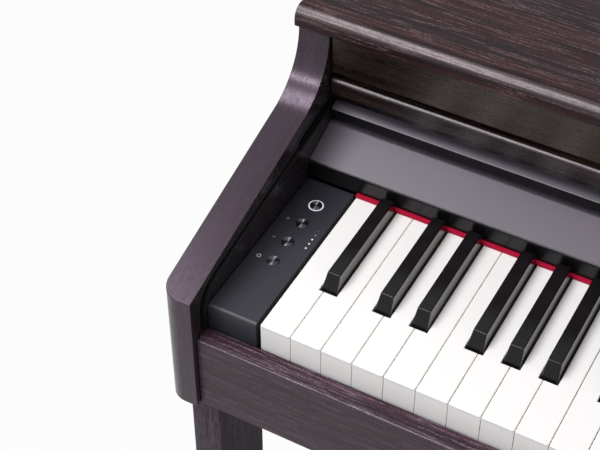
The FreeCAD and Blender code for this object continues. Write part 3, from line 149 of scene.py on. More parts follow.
# %% [markdown]
# Some nodes are wanted again and again: where the surface is, which way it faces, a noise, a blend of two
# colours, and a height turned into dents. Each gets a short method, so that a finish reads like a recipe.

# %% Steps that every finish uses
class Recipe(Finish):
    """A finish with names for its usual steps."""

    def place(self):
        """Where the surface is, in metres."""
        return self.node("ShaderNodeTexCoord", {}, {}, "Object")

    def facing(self):
        """The x, y and z of the way the surface faces."""
        return self.axes(self.node("ShaderNodeTexCoord", {}, {}, "Normal"))

    def axes(self, vector):
        split = self.node("ShaderNodeSeparateXYZ", {}, {0: vector}).socket.node
        return [Value(self, output) for output in split.outputs]

    def vector(self, *numbers):
        return self.node("ShaderNodeCombineXYZ", {}, dict(enumerate(numbers)))

    def noise(self, vector, scale, **more):
        more = {name.capitalize(): value for name, value in more.items()}
        return self.node("ShaderNodeTexNoise", {}, {"Vector": vector, "Scale": scale, **more})

    def blend(self, amount, low, high):
        """One colour turning into another."""
        inputs = {"Factor": amount, 6: opaque(low), 7: opaque(high)}
        return self.node("ShaderNodeMix", {"data_type": "RGBA"}, inputs, 2)

    def relief(self, height, depth, strength=1.0):
        """A height from 0 to 1 turned into dents this deep, in metres."""
        return self.node("ShaderNodeBump", {}, {"Height": height, "Distance": depth, "Strength": strength})


def opaque(colour):
    """Three numbers become a solid colour. Anything else is passed on."""
    return (*colour, 1.0) if isinstance(colour, tuple) and len(colour) == 3 else colour


print("steps:", [name for name in vars(Recipe) if not name.startswith("_")])

# %% [markdown]
# ## Rosewood veneer
#
# The case is board wrapped in dark rosewood with open pores under a satin lacquer. A printed pattern would
# need each board unwrapped, and would repeat. Each board needs its grain along its own length, so the pattern
# is a field of stretched noise: long in the direction of the grain and fine across it. On the curved edge of
# a side panel the wrap follows the edge. There the length is taken as y + z, which grows all along that edge.

# %% Grain that follows a board
LONG, SHORT, UPWARDS = 0.035, 0.12, 0.02  # squeezed along the grain for streaks and pores, and up a wrap


def grain_field(finish, along, offset, squeeze=LONG):
    """Places in metres, squeezed along the grain."""
    x, y, z = finish.axes(finish.place())
    if along == "x":
        return finish.vector(x * squeeze, y + offset, z)
    if along == "y":
        return finish.vector(y * squeeze, x + offset, z)
    upright = finish.vector(z * squeeze, y + offset, x)
    if along == "z":
        return upright
    side = abs(finish.facing()[0]).above(0.6, 0.1)
    wrapped = finish.vector((y + z) * squeeze, x + offset, z * UPWARDS)
    return finish.node("ShaderNodeMix", {"data_type": "VECTOR"}, {"Factor": side, 4: wrapped, 5: upright}, 1)


print("grain can follow x, y, z or a curved edge")

# %% [markdown]
# Rosewood is several colours at once: dark heartwood, warm bands, cool bands, and thin pale lines that break
# into specks. A set of four tones holds them, from the darkest to the palest. The boards differ, since each
# sheet of veneer comes from another part of the log. Some differences are painted light and shade: the stand
# wears a lit copy of the plum tones, made paler, and the side panels a shaded copy, made darker, for how each
# meets the light.

# %% Tones of rosewood
def share_of(colour, share):
    """A colour made darker or paler."""
    return tuple(share * part for part in colour)


BROWN = ((0.0060, 0.0026, 0.0032), (0.0340, 0.0115, 0.0125), (0.0095, 0.0065, 0.0085), (0.165, 0.103, 0.107))
OLIVE = ((0.0035, 0.0018, 0.0016), (0.0170, 0.0088, 0.0068), (0.0065, 0.0048, 0.0043), (0.055, 0.036, 0.028))
WINE = ((0.0310, 0.0165, 0.0240), (0.0880, 0.0450, 0.0620), (0.0450, 0.0325, 0.0420), (0.245, 0.175, 0.220))
PLUM = ((0.030, 0.0200, 0.0270), (0.043, 0.0290, 0.0380), (0.0340, 0.0280, 0.0380), (0.100, 0.080, 0.100))
# Painted light and shade: a lit copy of the plum tones, paler, and a shaded copy, darker.
PLUM_LIT_COPY = tuple(share_of(tone, 1.9) for tone in PLUM)
PLUM_SHADED_COPY = tuple(share_of(tone, 0.7) for tone in PLUM)
PORE = (0.0075, 0.0045, 0.0055)
# Painted shade: the darker tone that faces looking straight forwards are drawn towards.
PAINTED_FRONT_SHADE = (0.052, 0.038, 0.044)
# The faint colours that the lacquer's own shine can have.
LAVENDER, ROSE, AMBER, VIOLET = (0.96, 0.88, 1, 1), (1, 0.74, 0.82, 1), (1, 0.86, 0.80, 1), (1, 0.80, 1, 1)
print("reds of the palest tones:", [round(tones[-1][0], 3) for tones in (BROWN, OLIVE, WINE, PLUM_LIT_COPY)])

# %% [markdown]
# The veneer is laid down from the back to the front. Bands and tones come first, then the pale lines, which
# are the ridges of a noise, broken up by specks. Pores darken, dull and dent it. Lacquer runs and builds up
# where an edge is rounded, so a coat is added there: it is what draws the pale line along an edge. Last comes
# painted shade: on a face that looks straight forwards, which gets less light than the top, the colours are
# drawn towards one darker tone.

# %% The veneer itself
BAND, TONE, FLOW, SPECKLE, DASH = 30, 150, 270, 900, 1000  # how many features in a metre


def veneer(name, along, offset, lines, tones=PLUM, rough=0.27, gloss=0.36, tinge=LAVENDER, rounding=0.0,
           front_shade=0.0):
    """Rosewood. lines: how much the pale lines show. rounding: the extra lacquer on rounded edges.
    front_shade: how much painted shade darkens a face that looks straight forwards."""
    deep, warm, cool, pale = tones
    finish = Recipe(name)
    field = grain_field(finish, along, offset)
    band = finish.noise(field, BAND, detail=2, distortion=0.6)
    tone = finish.noise(field, TONE, detail=3, roughness=0.6)
    flow = finish.noise(field, FLOW, detail=2, roughness=0.55)
    dash = finish.noise(grain_field(finish, along, offset, SHORT), DASH, detail=2, roughness=0.6)
    speckle = finish.noise(finish.place(), SPECKLE, detail=2, roughness=0.6)
    line = (1 - abs(flow - 0.5) * 21).above(0.35, 0.45) * speckle.above(0.47, 0.1)
    pore = dash.above(0.56, 0.05)
    face = finish.facing()
    forward = 0 - face[1]
    rounded = forward.above(0.3, 0.15) * face[2].above(0.3, 0.2)
    front_facing_shade = forward.above(0.85, 0.1)

    wood = finish.blend(tone.above(0.5, 0.14), deep, warm)
    wood = finish.blend(band.above(0.55, 0.08) * 0.75, wood, cool)
    wood = finish.blend(line * (0.75 * lines), wood, pale)
    wood = finish.blend(pore * (0.3 + 0.4 * lines), wood, PORE)
    # Painted shade: faces that look straight forwards are drawn towards one darker tone.
    wood = finish.blend(front_facing_shade * front_shade, wood, PAINTED_FRONT_SHADE)
    return finish.surface(
        Base_Color=wood,
        Roughness=rough + pore * 0.10 + tone * 0.03,
        Normal=finish.relief((1 - pore) * 0.6 + dash * 0.4, 0.00003, 0.6),
        Specular_Tint=tinge,
        Specular_IOR_Level=gloss,
        Coat_Weight=rounded * (1 - pore * 0.25) * rounding,
        Coat_Roughness=0.3,
    )


print("features across the grain, in mm:", [round(1000 / n, 1) for n in (BAND, TONE, FLOW, SPECKLE, DASH)])

# %% [markdown]
# Each board's veneer is made here. The offset moves the pattern, so that no two boards look cut from the same
# spot. The top board is the brownest and shows the most lines. The boards that face forwards are plainer.

# %% A veneer for each board
finished = []


def wear(material, *names):
    """Puts a finish on some of the measured parts."""
    for name in names:
        parts[name].data.materials.clear()
        parts[name].data.materials.append(material)
    finished.extend(names)
    print(material.name, "on", *names)


wear(veneer("rosewood_top", "x", 0.13, 0.85, BROWN, 0.29, 0.20, ROSE, rounding=0.75), "top_board")
wear(veneer("rosewood_case", "x", 0.41, 0.4, OLIVE, 0.24, 0.5, AMBER), "upper_front_panel")
# The slip's forward faces get painted shade.
wear(veneer("rosewood_slip", "x", 0.77, 0.8, WINE, 0.27, 0.13, rounding=0.8, front_shade=0.6),
     "key_slip", "pedal_box", "back_board")
wear(veneer("rosewood_lid", "x", 1.3, 0.6, OLIVE, 0.25, 0.42, rounding=0.5), "lid_board", "music_rest")
# The side panels wear the shaded copy of the plum tones: painted shade.
wear(veneer("rosewood_sides", "edge", 0.29, 0.3, PLUM_SHADED_COPY, 0.2, 0.4, VIOLET),
     "left_side_panel", "right_side_panel")
# The stand wears the lit copy of the plum tones: painted light.
wear(veneer("rosewood_stand", "z", 0.53, 0.3, PLUM_LIT_COPY, 0.5, 0.1),
     "left_front_leg", "right_front_leg", "left_stand_side", "right_stand_side")
wear(veneer("rosewood_feet", "y", 0.91, 0.3), "left_foot", "right_foot")

# %% [markdown]
# ## Moulded plastic
#
# A moulding takes the fine matt texture of its steel mould. Real dents that small would need millions of
# faces, so they are a mist of tiny bumps in the finish. A slow noise makes the shine a little uneven, as it
# is where hands have been.

# %% Plastics
def moulding(name, tint, roughness, mist=0.00003, gloss=0.5):
    finish = Recipe(name)
    place = finish.place()
    mould = finish.noise(place, 2600, detail=2)
    handled = finish.noise(place, 14, detail=3, roughness=0.6)
    return finish.surface(
        Base_Color=finish.blend(handled.above(0.52, 0.3), tint, share_of(tint, 1.35)),
        Roughness=roughness + handled * 0.08 - 0.04,
        Normal=finish.relief(mould, mist),
        Specular_IOR_Level=gloss,
    )


wear(moulding("black_board", (0.014, 0.013, 0.014), 0.6, 0.00006), "rear_panel", "key_bed")
wear(moulding("black_moulding", (0.010, 0.010, 0.011), 0.42),
     "left_lid_track", "right_lid_track", "connector_panel", "headphone_box", "pedal_adjuster")
wear(moulding("slate_moulding", (0.020, 0.0205, 0.028), 0.44, 0.00003, 0.45),
     "left_control_block", "right_control_block")
wear(moulding("rubber", (0.018, 0.018, 0.018), 0.8, 0.00008), "floor_glides")

# %% [markdown]
# ## Lacquer in two coats
#
# The name board and the lid's grip are lacquered twice. Their slopes have a satin lavender coat that catches
# the light. Their upright faces are coloured near-black and left glossier, with no coat. Two materials would
# leave a hard line where they meet. One mask, how far the surface faces forwards, does both with a soft
# change between.

# %% Two coats
UPRIGHT_BLACK = (0.0035, 0.0032, 0.0038)


def two_coats(name, paler, deeper, turns, rough, gloss, coat_ior):
    """Satin on the slopes. turns: how far a face looks forwards where it becomes bare black."""
    finish = Recipe(name)
    place = finish.place()
    upright = (0 - finish.facing()[1]).above(turns, 0.08)
    cloud = finish.noise(place, 9, detail=3)
    mist = finish.noise(place, 2400, detail=2)
    return finish.surface(
        Base_Color=finish.blend(upright, finish.blend(cloud, deeper, paler), UPRIGHT_BLACK),
        Roughness=rough - upright * 0.2 + cloud * 0.04,
        Normal=finish.relief(mist, 0.00001),
        Specular_Tint=(0.98, 0.92, 1.0, 1.0),
        Specular_IOR_Level=gloss,
        Coat_Weight=1 - upright,
        Coat_Roughness=rough,
        Coat_IOR=coat_ior,
    )


wear(two_coats("name_board_lacquer", (0.094, 0.078, 0.102), (0.082, 0.067, 0.089), 0.46, 0.44, 0.25, 1.57),
     "name_board")
wear(two_coats("grip_lacquer", (0.052, 0.042, 0.060), (0.044, 0.035, 0.052), 0.82, 0.42, 0.3, 1.6),
     "lid_grip")

# %% [markdown]
# ## Metals
#
# Brushed steel, sprayed steel and cast brass are one idea: a fine noise, stretched the way the tool went or
# left as it is where no tool went. It varies the roughness and dents the surface. A slower noise dulls some
# places, as touch and air do. Each metal could have its own recipe, but only a few numbers would differ.

# %% Metals
STROKE = 0.02  # how much a place is squeezed along a brush stroke


def metal(name, tint, roughness, along="x", depth=0.00001, lines=900):
    """along: the way the brush went, x or y, or none."""
    finish = Recipe(name)
    x, y, z = finish.axes(finish.place())
    if along == "x":
        x = x * STROKE
    elif along == "y":
        x, y = y * STROKE, x
    brushed = finish.noise(finish.vector(x, y, z), lines, detail=3)
    worn = finish.noise(finish.place(), 35, detail=4)
    return finish.surface(
        Base_Color=finish.blend(worn.above(0.55, 0.2), tint, share_of(tint, 0.72)),
        Roughness=roughness + brushed * 0.12 + worn * 0.08 - 0.08,
        Metallic=1.0,
        Normal=finish.relief(brushed, depth),
    )


wear(metal("painted_frame", (0.20, 0.20, 0.21), 0.45), "key_frame")
wear(metal("steel_rod", (0.52, 0.52, 0.53), 0.3), "lid_shaft", "headphone_hook")
wear(metal("black_steel", (0.045, 0.045, 0.048), 0.45, "none", 0.00003),
     "music_rest_stay", "left_speaker_grille", "right_speaker_grille")
wear(metal("brass_hinge", (0.62, 0.42, 0.16), 0.3), "music_rest_hinges")

# %% [markdown]
# ## Piano keys
#
# White keys are a polished milky plastic. Their flanks are painted paler and yellower than the top: that is
# painted light, standing for the light that shows through the plastic in the narrow gaps between keys. That
# could be two materials on chosen faces, but the measured meshes stay untouched, so a mask of how far a face
# looks sideways tells the flanks from the top.

# %% White keys
def flank_of(finish):
    """1 on the left and right sides of a key, 0 elsewhere."""
    return abs(finish.facing()[0]).above(0.8, 0.08)


def white_key_plastic():
    finish = Recipe("white_key_plastic")
    place = finish.place()
    cloud = finish.noise(place, 30, detail=2)
    polish = finish.noise(place, 400, detail=2)
    top = finish.blend(cloud, (0.90, 0.89, 0.875), (0.92, 0.91, 0.90))
    return finish.surface(
        # Painted light: the flanks are paler and yellower, for light showing through the gaps between keys.
        Base_Color=finish.blend(flank_of(finish), top, (0.97, 0.92, 0.80)),
        Roughness=0.2 + cloud * 0.08,
        Normal=finish.relief(polish, 0.000012),
    )


WHITE_KEYS = [f"keys_{note}" for note in "abcdefg"]
wear(white_key_plastic(), *WHITE_KEYS)

# %% [markdown]
# Black keys are satin, with a faint grain along them. Their flanks shine more, because fingers polish them,
# so the same mask puts a clear coat there. A glossier key all over would lose the soft look of its top.

# %% Black keys
def black_key_plastic():
    finish = Recipe("black_key_plastic")
    x, y, z = finish.axes(finish.place())
    grain = finish.noise(finish.vector(x, y * 0.05, z), 1500, detail=3)
    cloud = finish.noise(finish.place(), 40, detail=2)
    return finish.surface(
        Base_Color=finish.blend(cloud, (0.0042, 0.0034, 0.0042), (0.0070, 0.0060, 0.0068)),
        Roughness=0.15 + grain * 0.06,
        Normal=finish.relief(grain, 0.000006),
        Specular_IOR_Level=0.24,
        Coat_Weight=flank_of(finish) * 0.9,
        Coat_Roughness=0.2,
        Coat_Tint=(1.0, 0.95, 0.90, 1.0),
    )


BLACK_KEYS = [f"keys_{note}_sharp" for note in "acdfg"]
wear(black_key_plastic(), *BLACK_KEYS)

# %% [markdown]
# ## Felt
#
# Felt is short wool pressed flat. Its fibres are too many to model, so two noises stand for them: a fine one
# for the fuzz and a broad one for the lumps. Both lift the surface, and a little Sheen gives the pale edge
# that wool has where it is seen from the side.

# %% Felt
def felt(name, tint):
    finish = Recipe(name)
    fuzz = finish.noise(finish.place(), 1600, detail=4, roughness=0.7)
    lump = finish.noise(finish.place(), 220, detail=2)
    return finish.surface(
        Base_Color=finish.blend(fuzz.above(0.5, 0.2), share_of(tint, 0.6), tint),
        Roughness=0.9 + lump * 0.1,
        Normal=finish.relief(fuzz * 0.6 + lump * 0.4, 0.0003),
        Sheen_Weight=0.03,
        Specular_IOR_Level=0.15,
    )


crimson = felt("crimson_felt", (0.49, 0.006, 0.042))
print("felt ready:", crimson.name)

# %% [markdown]
# ## Lamps
#
# A lamp's lens is clear plastic over a tiny light. A real lamp behind glass would be slow to draw and would
# look the same at this size, so the lens shines by itself. A lamp that is off also glows weakly: that glow is
# painted light, standing for room light coming back out of the lens.

# %% Lamp lenses
def lamp(name, tint, light):
    finish = Recipe(name)
    lens = finish.noise(finish.place(), 900, detail=1)
    return finish.surface(
        Base_Color=finish.blend(lens, share_of(tint, 0.3), share_of(tint, 0.25)),
        Roughness=0.35 + lens * 0.1,
        Emission_Color=finish.blend(lens, tint, share_of(tint, 0.9)),
        Emission_Strength=light,
    )


lit = lamp("lamp_lit", (0.95, 0.93, 1.0), 0.62)
dim = lamp("lamp_dim", (0.30, 0.29, 0.34), 0.45)
# Painted light: this lamp is off, and its weak glow stands for room light coming back out of the lens.
off = lamp("lamp_off_painted_glow", (0.16, 0.16, 0.19), 0.1)
print("lenses ready:", lit.name, dim.name, off.name)

# %% [markdown]
# ## Circuit boards and speaker cones
#
# Nobody looks at these except through a cut-out, but they are what the piano is. A board is green resist over
# copper tracks. Drawing each track would take a plan of the circuit, so a random pattern of square cells
# stands for them: some places are raised and paler, as resist is over copper.

# %% Circuit boards
def circuit_resist():
    finish = Recipe("circuit_resist")
    x, y, z = finish.axes(finish.place())
    squares = {"distance": "CHEBYCHEV", "feature": "F2"}
    cell = finish.node("ShaderNodeTexVoronoi", squares, {"Vector": finish.vector(x, y, 0), "Scale": 160})
    track = cell.above(0.62, 0.03)
    return finish.surface(
        Base_Color=finish.blend(track, (0.010, 0.075, 0.030), (0.045, 0.16, 0.07)),
        Roughness=0.42 - track * 0.12,
        Normal=finish.relief(track, 0.00004),
    )


wear(circuit_resist(), "button_board", "main_circuit_board")

# %% [markdown]
# A cone is pressed paper, with fine fibres and slower waves from its mould. The fibres are too many to model,
# so two noises lift and darken the surface.

# %% Speaker cones
def pressed_paper():
    finish = Recipe("pressed_paper")
    place = finish.place()
    wave = finish.noise(place, 60, detail=1)
    fibre = finish.noise(place, 1200, detail=4)
    return finish.surface(
        Base_Color=finish.blend(fibre, (0.012, 0.012, 0.013), (0.03, 0.03, 0.032)),
        Roughness=0.75 + fibre * 0.15,
        Normal=finish.relief(fibre * 0.7 + wave * 0.3, 0.00015),
    )


wear(pressed_paper(), "left_speaker", "right_speaker")
print(len(finished), "parts finished; new pieces stand for", sorted(set(parts) - set(finished)))

# %% [markdown]
# ## Softer edges
#
# No board or moulding has a truly sharp edge, and it is the rounded edge that catches a line of light. The
# parts' own meshes stay as they are. Modifiers weld the doubled corners, join the flat triangles into whole
# faces and round what is still sharp, by less on the mouldings and keys and by more on the boards and feet.

# %% Ease the edges
SAME_PLACE, SAME_PLANE, SHARP = 1e-6, math.radians(0.5), math.radians(40)


def ease_edges(part, width):
    weld = part.modifiers.new("weld", "WELD")
    weld.merge_threshold = SAME_PLACE
    flat = part.modifiers.new("flat", "DECIMATE")
    flat.decimate_type, flat.angle_limit = "DISSOLVE", SAME_PLANE
    bevel = part.modifiers.new("ease", "BEVEL")
    bevel.width, bevel.segments = width, 2
    bevel.limit_method, bevel.angle_limit = "ANGLE", SHARP
    smooth = part.modifiers.new("even", "WEIGHTED_NORMAL")
    smooth.keep_sharp = True
    part.data.shade_smooth()


EASED = {  # the width of the rounding, in metres, and the parts that have it
    0.0008: ["top_board", "key_slip", "left_side_panel", "right_side_panel", "left_front_leg",
             "right_front_leg", "left_stand_side", "right_stand_side", "back_board", "music_rest",
             "lid_board", "upper_front_panel"],
    0.0015: ["left_foot", "right_foot"],
    0.0005: ["left_control_block", "right_control_block", "name_board", "lid_grip", "pedal_box"],
    0.00035: [*WHITE_KEYS, *BLACK_KEYS, "headphone_box"],
}
for width, names in EASED.items():
    for name in names:
        ease_edges(parts[name], width)
print(sum(len(names) for names in EASED.values()), "parts with eased edges")

# %% [markdown]
# ## Making a new piece
#
# Some parts are drawn as plain solids and get a finer piece in their place. Each new piece is a mesh with a
# finish. It rides on a body, so that it moves with that body. All of that could be said again for each piece,
# but one helper says it once, so no piece is forgotten.

# %% A piece on its body
def piece_from(name, build, material, body):
    """A new piece: a mesh, its finish and the body it rides on."""
    mesh = bpy.data.meshes.new(name)
    build.to_mesh(mesh)
    build.free()
    mesh.materials.append(material)
    mesh.shade_smooth()
    piece = bpy.data.objects.new(name, mesh)
    bpy.context.scene.collection.objects.link(piece)
    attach(piece, body)
    return piece


def measure(piece):
    """The width, depth and height of a piece, in millimetres."""
    return [round(1000 * size, 1) for size in piece.dimensions]


# %% [markdown]
# Most pieces are rings of points joined into a skin. That gives any turned, cast or pressed form from a short
# rule, where stock shapes give only tubes and balls. A ring may shrink to a single point, at a tip.

# %% A skin over rings of points
def skin(build, rings, *ends):
    """Joins each ring of points to the next and adds the ends. A ring may be a single point."""
    for ring, after in zip(rings, rings[1:]):
        for step in range(max(len(ring), len(after))):
            corners = [ring[step % len(ring)], ring[(step + 1) % len(ring)],
                       after[(step + 1) % len(after)], after[step % len(after)]]
            corners = list(dict.fromkeys(corners))
            if len(corners) > 2:
                build.faces.new(corners)
    for end in ends:
        build.faces.new(end)
    bmesh.ops.recalc_face_normals(build, faces=build.faces)


print("a skin joins rings of points, or a ring and a tip")

# %% [markdown]
# ## Turned pieces
#
# Buttons, lamps and pins are round. A half outline turned about a line makes each of them, as a lathe would.
# The outline is a list of (radius, height) pairs in millimetres, with heights counted from the centre given.

# %% Turn an outline
def turn(build, outline, centre, around=64, axis="z"):
    """Adds the outline, turned about an axis through the centre. Measures are in millimetres."""
    rings = []
    for radius, height in outline:
        ring = []
        for step in range(around if radius else 1):
            angle = math.tau * step / around
            across, up = radius * math.cos(angle), radius * math.sin(angle)
            offset = (across, up, height) if axis == "z" else (across, height, up)
            ring.append(build.verts.new([(c + o) / 1000 for c, o in zip(centre, offset)]))
        rings.append(ring)
    skin(build, rings)


print("an outline turns about z, or about y where it points backwards")

# %% [markdown]
# ## Buttons
#
# The four buttons are small dished caps with a turned face. The fine rings left by the tool throw the light
# into a bow-tie shape, which tells the eye that the cap is spun metal. Those rings are far too fine to model,
# so they are a noise that changes only with the distance from the middle. It tilts the surface in and out.

# %% Spun metal
BUTTON_X = -632.85
BUTTON_Y = {"function_button": -127.3, "volume_down_button": -105.8, "volume_up_button": -84.3,
            "power_button": -62.8}


def spun_metal(name, centre_y):
    finish = Recipe(name)
    x, y, z = finish.axes(finish.place())
    across, along = x - BUTTON_X / 1000, y - centre_y / 1000
    radius = (across * across + along * along) ** 0.5 + 0.00001
    groove = finish.noise(finish.vector(radius, 0, 0), 9000, detail=2, roughness=0.7)
    ripple = finish.noise(finish.vector(radius, 1, 0), 5200, detail=2)
    tilt = (groove.above(0.5, 0.03) * 2 - 1) * (0.3 + ripple * 0.6)
    right, back, up = finish.facing()
    flat = up.above(0.9, 0.05)
    leaning = finish.vector(right + across / radius * tilt * flat, back + along / radius * tilt * flat, up)
    return finish.surface(
        Base_Color=finish.blend(groove, (0.085, 0.085, 0.100), (0.170, 0.170, 0.195)),
        Roughness=0.22 + groove * 0.08,
        Metallic=1.0,
        Normal=finish.node("ShaderNodeVectorMath", {"operation": "NORMALIZE"}, {0: leaning}),
    )


print("buttons along y:", BUTTON_Y)

# %% [markdown]
# The cap is a shallow dish inside a fine raised rim. Its wall goes down through the block, and below the
# block a wider collar keeps it from coming out. An eased tube would miss the dish, so each step of the
# outline is written out. Heights are counted from the top of the control block.

# %% Button caps
BLOCK_TOP = 728.5
CAP = [(0, 0.43), (2.6, 0.45), (4.0, 0.55), (4.2, 0.65), (4.35, 0.70), (4.55, 0.66), (4.68, 0.50),
       (4.7, 0.10), (4.7, -6.5), (6.15, -6.6), (6.2, -7.0), (6.2, -8.1), (4.7, -8.2), (4.65, -8.9),
       (0, -8.95)]
for name, y in BUTTON_Y.items():
    build = bmesh.new()
    turn(build, CAP, (BUTTON_X, y, BLOCK_TOP))
    cap = piece_from("cap_of_" + name, build, spun_metal("spun_" + name, y), name)
    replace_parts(cap, name)
    print(cap.name, measure(cap))

# %% [markdown]
# ## Lamps in the control block
#
# Five tiny lamps show the volume and a ring of light shows that the piano is on. Three lamps are lit, the
# fourth is dim and the last is off. Each is a clear rod with a slightly domed end, flush with the block. The
# ring is turned from a closed outline, so that it has a wall inside and outside.

# %% Volume lamps and the power ring
LAMP_X, FIRST_LAMP_Y, LAMP_SPACING = -618.6, -104.85, 4.9
LAMP = [(0, -10.5), (0.78, -10.5), (0.79, -0.1), (0.65, 0.05), (0, 0.1)]
RING = [(4.85, -2.3), (5.75, -2.3), (5.75, 0), (5.68, 0.08), (4.92, 0.08), (4.85, 0), (4.85, -2.3)]
for number, glass in enumerate((lit, lit, lit, dim, off)):
    build = bmesh.new()
    turn(build, LAMP, (LAMP_X, FIRST_LAMP_Y + LAMP_SPACING * number, BLOCK_TOP), 32)
    rod = piece_from(f"volume_lamp_{number}", build, glass, "cabinet")
build = bmesh.new()
turn(build, RING, (BUTTON_X, BUTTON_Y["power_button"], BLOCK_TOP))
ring = piece_from("power_ring", build, lit, "cabinet")
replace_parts(ring, "indicator_lamps")
print("a lamp measures", measure(rod), "and the ring", measure(ring))

# %% [markdown]
# ## Printed marks
#
# A mark beside each button says what it does: a ring, a minus, a plus, and a ring for power. They are printed
# ink. A texture could carry them, but shapes stay crisp from near by, so each is a flat shape lying 0.02 mm
# above the block. Only signs that any maker uses are drawn.

# %% Ink
def ink(name, tint):
    finish = Recipe(name)
    speck = finish.noise(finish.place(), 5000, detail=2)
    return finish.surface(
        Base_Color=finish.blend(speck, tint, share_of(tint, 0.8)),
        Roughness=0.5 + speck * 0.1,
    )


white_ink = ink("white_ink", (0.62, 0.62, 0.66))
grey_ink = ink("grey_ink", (0.36, 0.36, 0.40))
dim_ink = ink("dim_ink", (0.085, 0.085, 0.10))
print("inks:", white_ink.name, grey_ink.name, dim_ink.name)

# %% [markdown]
# Rings and bars are all that the marks need. Each lies at one height, so it is made of flat faces, with no
# skin.

# %% Shapes to print
INK_HEIGHT = BLOCK_TOP + 0.02


def print_point(build, x, y):
    return build.verts.new((x / 1000, y / 1000, INK_HEIGHT / 1000))


def flat_ring(build, x, y, inner, outer, gap=0.0, steps=32):
    """A ring lying on the block, open at the back by an angle when it has a gap."""
    pairs = []
    for step in range(steps + 1):
        angle = math.pi / 2 + gap / 2 + (math.tau - gap) * step / steps
        across, back = math.cos(angle), math.sin(angle)
        pairs.append([print_point(build, x + r * across, y + r * back) for r in (inner, outer)])
    for (a, b), (c, d) in zip(pairs, pairs[1:]):
        build.faces.new((a, b, d, c))


def flat_bar(build, x, y, length, width):
    corners = [(-1, -1), (1, -1), (1, 1), (-1, 1)]
    build.faces.new([print_point(build, x + i * length / 2, y + j * width / 2) for i, j in corners])


print("ink lies at", INK_HEIGHT, "mm")

# %% [markdown]
# A minus is one bar and a plus is two bars that cross. The power mark is a ring with a gap at the back, and a
# short bar in the gap. Each mark is as far from its button as the next, in one line.

# %% Print the marks
MARK_X = -644.5
LONG_BAR, THIN_BAR = 2.6, 0.75
build = bmesh.new()
flat_ring(build, MARK_X, BUTTON_Y["function_button"], 1.1, 1.75)
piece_from("function_mark", build, white_ink, "cabinet")
build = bmesh.new()
flat_bar(build, MARK_X, BUTTON_Y["volume_down_button"], LONG_BAR, THIN_BAR)
flat_bar(build, MARK_X, BUTTON_Y["volume_up_button"], LONG_BAR, THIN_BAR)
flat_bar(build, MARK_X, BUTTON_Y["volume_up_button"], THIN_BAR, LONG_BAR)
piece_from("volume_marks", build, grey_ink, "cabinet")
build = bmesh.new()
flat_ring(build, MARK_X, BUTTON_Y["power_button"], 1.6, 1.95, gap=1.0)
flat_bar(build, MARK_X, BUTTON_Y["power_button"] + 1.7, 0.35, 1.6)
mark = piece_from("power_mark", build, dim_ink, "cabinet")
print("the power mark measures", measure(mark))

# %% [markdown]
# ## The red felt
#
# A strip of felt closes the gap behind the keys. Cut across, it is flat underneath and rounded along its top
# edges. A bevel could round it, but the strip also needs points along its top to roughen, so its section is
# written as points.

# %% The strip cut across
def felt_section(low, high):
    """The strip cut across, as (y, z) pairs: flat underneath and rounded along its top edges."""
    (y0, y1), (z0, z1) = (low.y, high.y), (low.z, high.z)
    edge = (z1 - z0) * 0.3
    section = [(y0, z0), (y0, z1 - edge), (y0 + edge * 0.4, z1 - edge * 0.3), (y0 + edge, z1)]
    section += [(y0 + (y1 - y0) * share, z1) for share in (0.25, 0.4, 0.55, 0.7, 0.85)]
    return section + [(y1 - edge, z1), (y1 - edge * 0.4, z1 - edge * 0.3), (y1, z1 - edge), (y1, z0)]


print("points in the section:", len(felt_section(*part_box("key_felt"))))

# %% [markdown]
# A smooth bar would look like plastic, so many slices stand along the strip, roughened by tiny random moves,
# before the finish adds its wool. The underside and the two ends stay true, and no point leaves the strip's
# box.

# %% Felt strip
SLICES, SHAKE = 520, 0.00012  # slices along the strip, and the longest random move, in metres


def felt_strip(name, low, high):
    build = bmesh.new()
    section, rows = felt_section(low, high), []
    for step in range(SLICES + 1):
        x = low.x + (high.x - low.x) * step / SLICES
        row = []
        for y, z in section:
            shake = SHAKE if 0 < step < SLICES and z > low.z else 0
            y = max(low.y, min(high.y, y + random.uniform(-shake, shake)))
            row.append(build.verts.new((x, y, z - random.uniform(0, shake))))
        rows.append(row)
    skin(build, rows, rows[0], rows[-1][::-1])
    return piece_from(name, build, crimson, "cabinet")


strip = felt_strip("felt_behind_the_keys", *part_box("key_felt"))
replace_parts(strip, "key_felt")
print("felt", measure(strip))

# %% [markdown]
# ## Pedals
#
# A piano pedal is cast brass: a broad rounded toe, a narrower waist, and a shank that goes into the box. A
# plain lever with eased edges would look stamped, so a row of rounded cross-sections along its length gives
# that form, each with its own width and thickness. It stays within the box of the lever that the drawing has.

# %% How a pedal narrows and thickens
def held(t):
    """Keeps a share between 0 and 1."""
    return min(max(t, 0), 1)


def pedal_width(t):
    """The width along the pedal, as a share of the widest, from 0 at the tip to 1 at the hinge."""
    toe = math.sqrt(max(0.0, 1 - (1 - min(t / 0.10, 1)) ** 2))
    neck = 0.62 + 0.38 * (0.5 + 0.5 * math.cos(math.pi * held((t - 0.16) / 0.34)))
    return max(0.02, toe * neck)


def pedal_thickness(t):
    """The thickness, as a share of the thickest: thin at the toe, full from half way."""
    return (0.55 + 0.45 * min(1, t / 0.5)) * min(1, 0.35 + 4.5 * math.sqrt(t))


def pedal_droop(t):
    """How far the toe's top curves down, as a share of the pedal's height."""
    return 0.12 * (1 - min(1, t / 0.25)) ** 2


print("width at the tip, toe, waist and hinge:", [round(pedal_width(t), 2) for t in (0, 0.1, 0.5, 1)])

# %% [markdown]
# Each cross-section is a circle pushed towards a square by raising its sine and cosine to a power below 1.
# The sections stand closer together at the toe, where the form changes fastest.

# %% Cast the pedals
SECTIONS, AROUND, SQUARENESS, TOWARDS_TOE = 56, 32, 0.65, 1.6


def rounded_square(angle):
    return [math.copysign(abs(wave) ** SQUARENESS, wave) for wave in (math.cos(angle), math.sin(angle))]


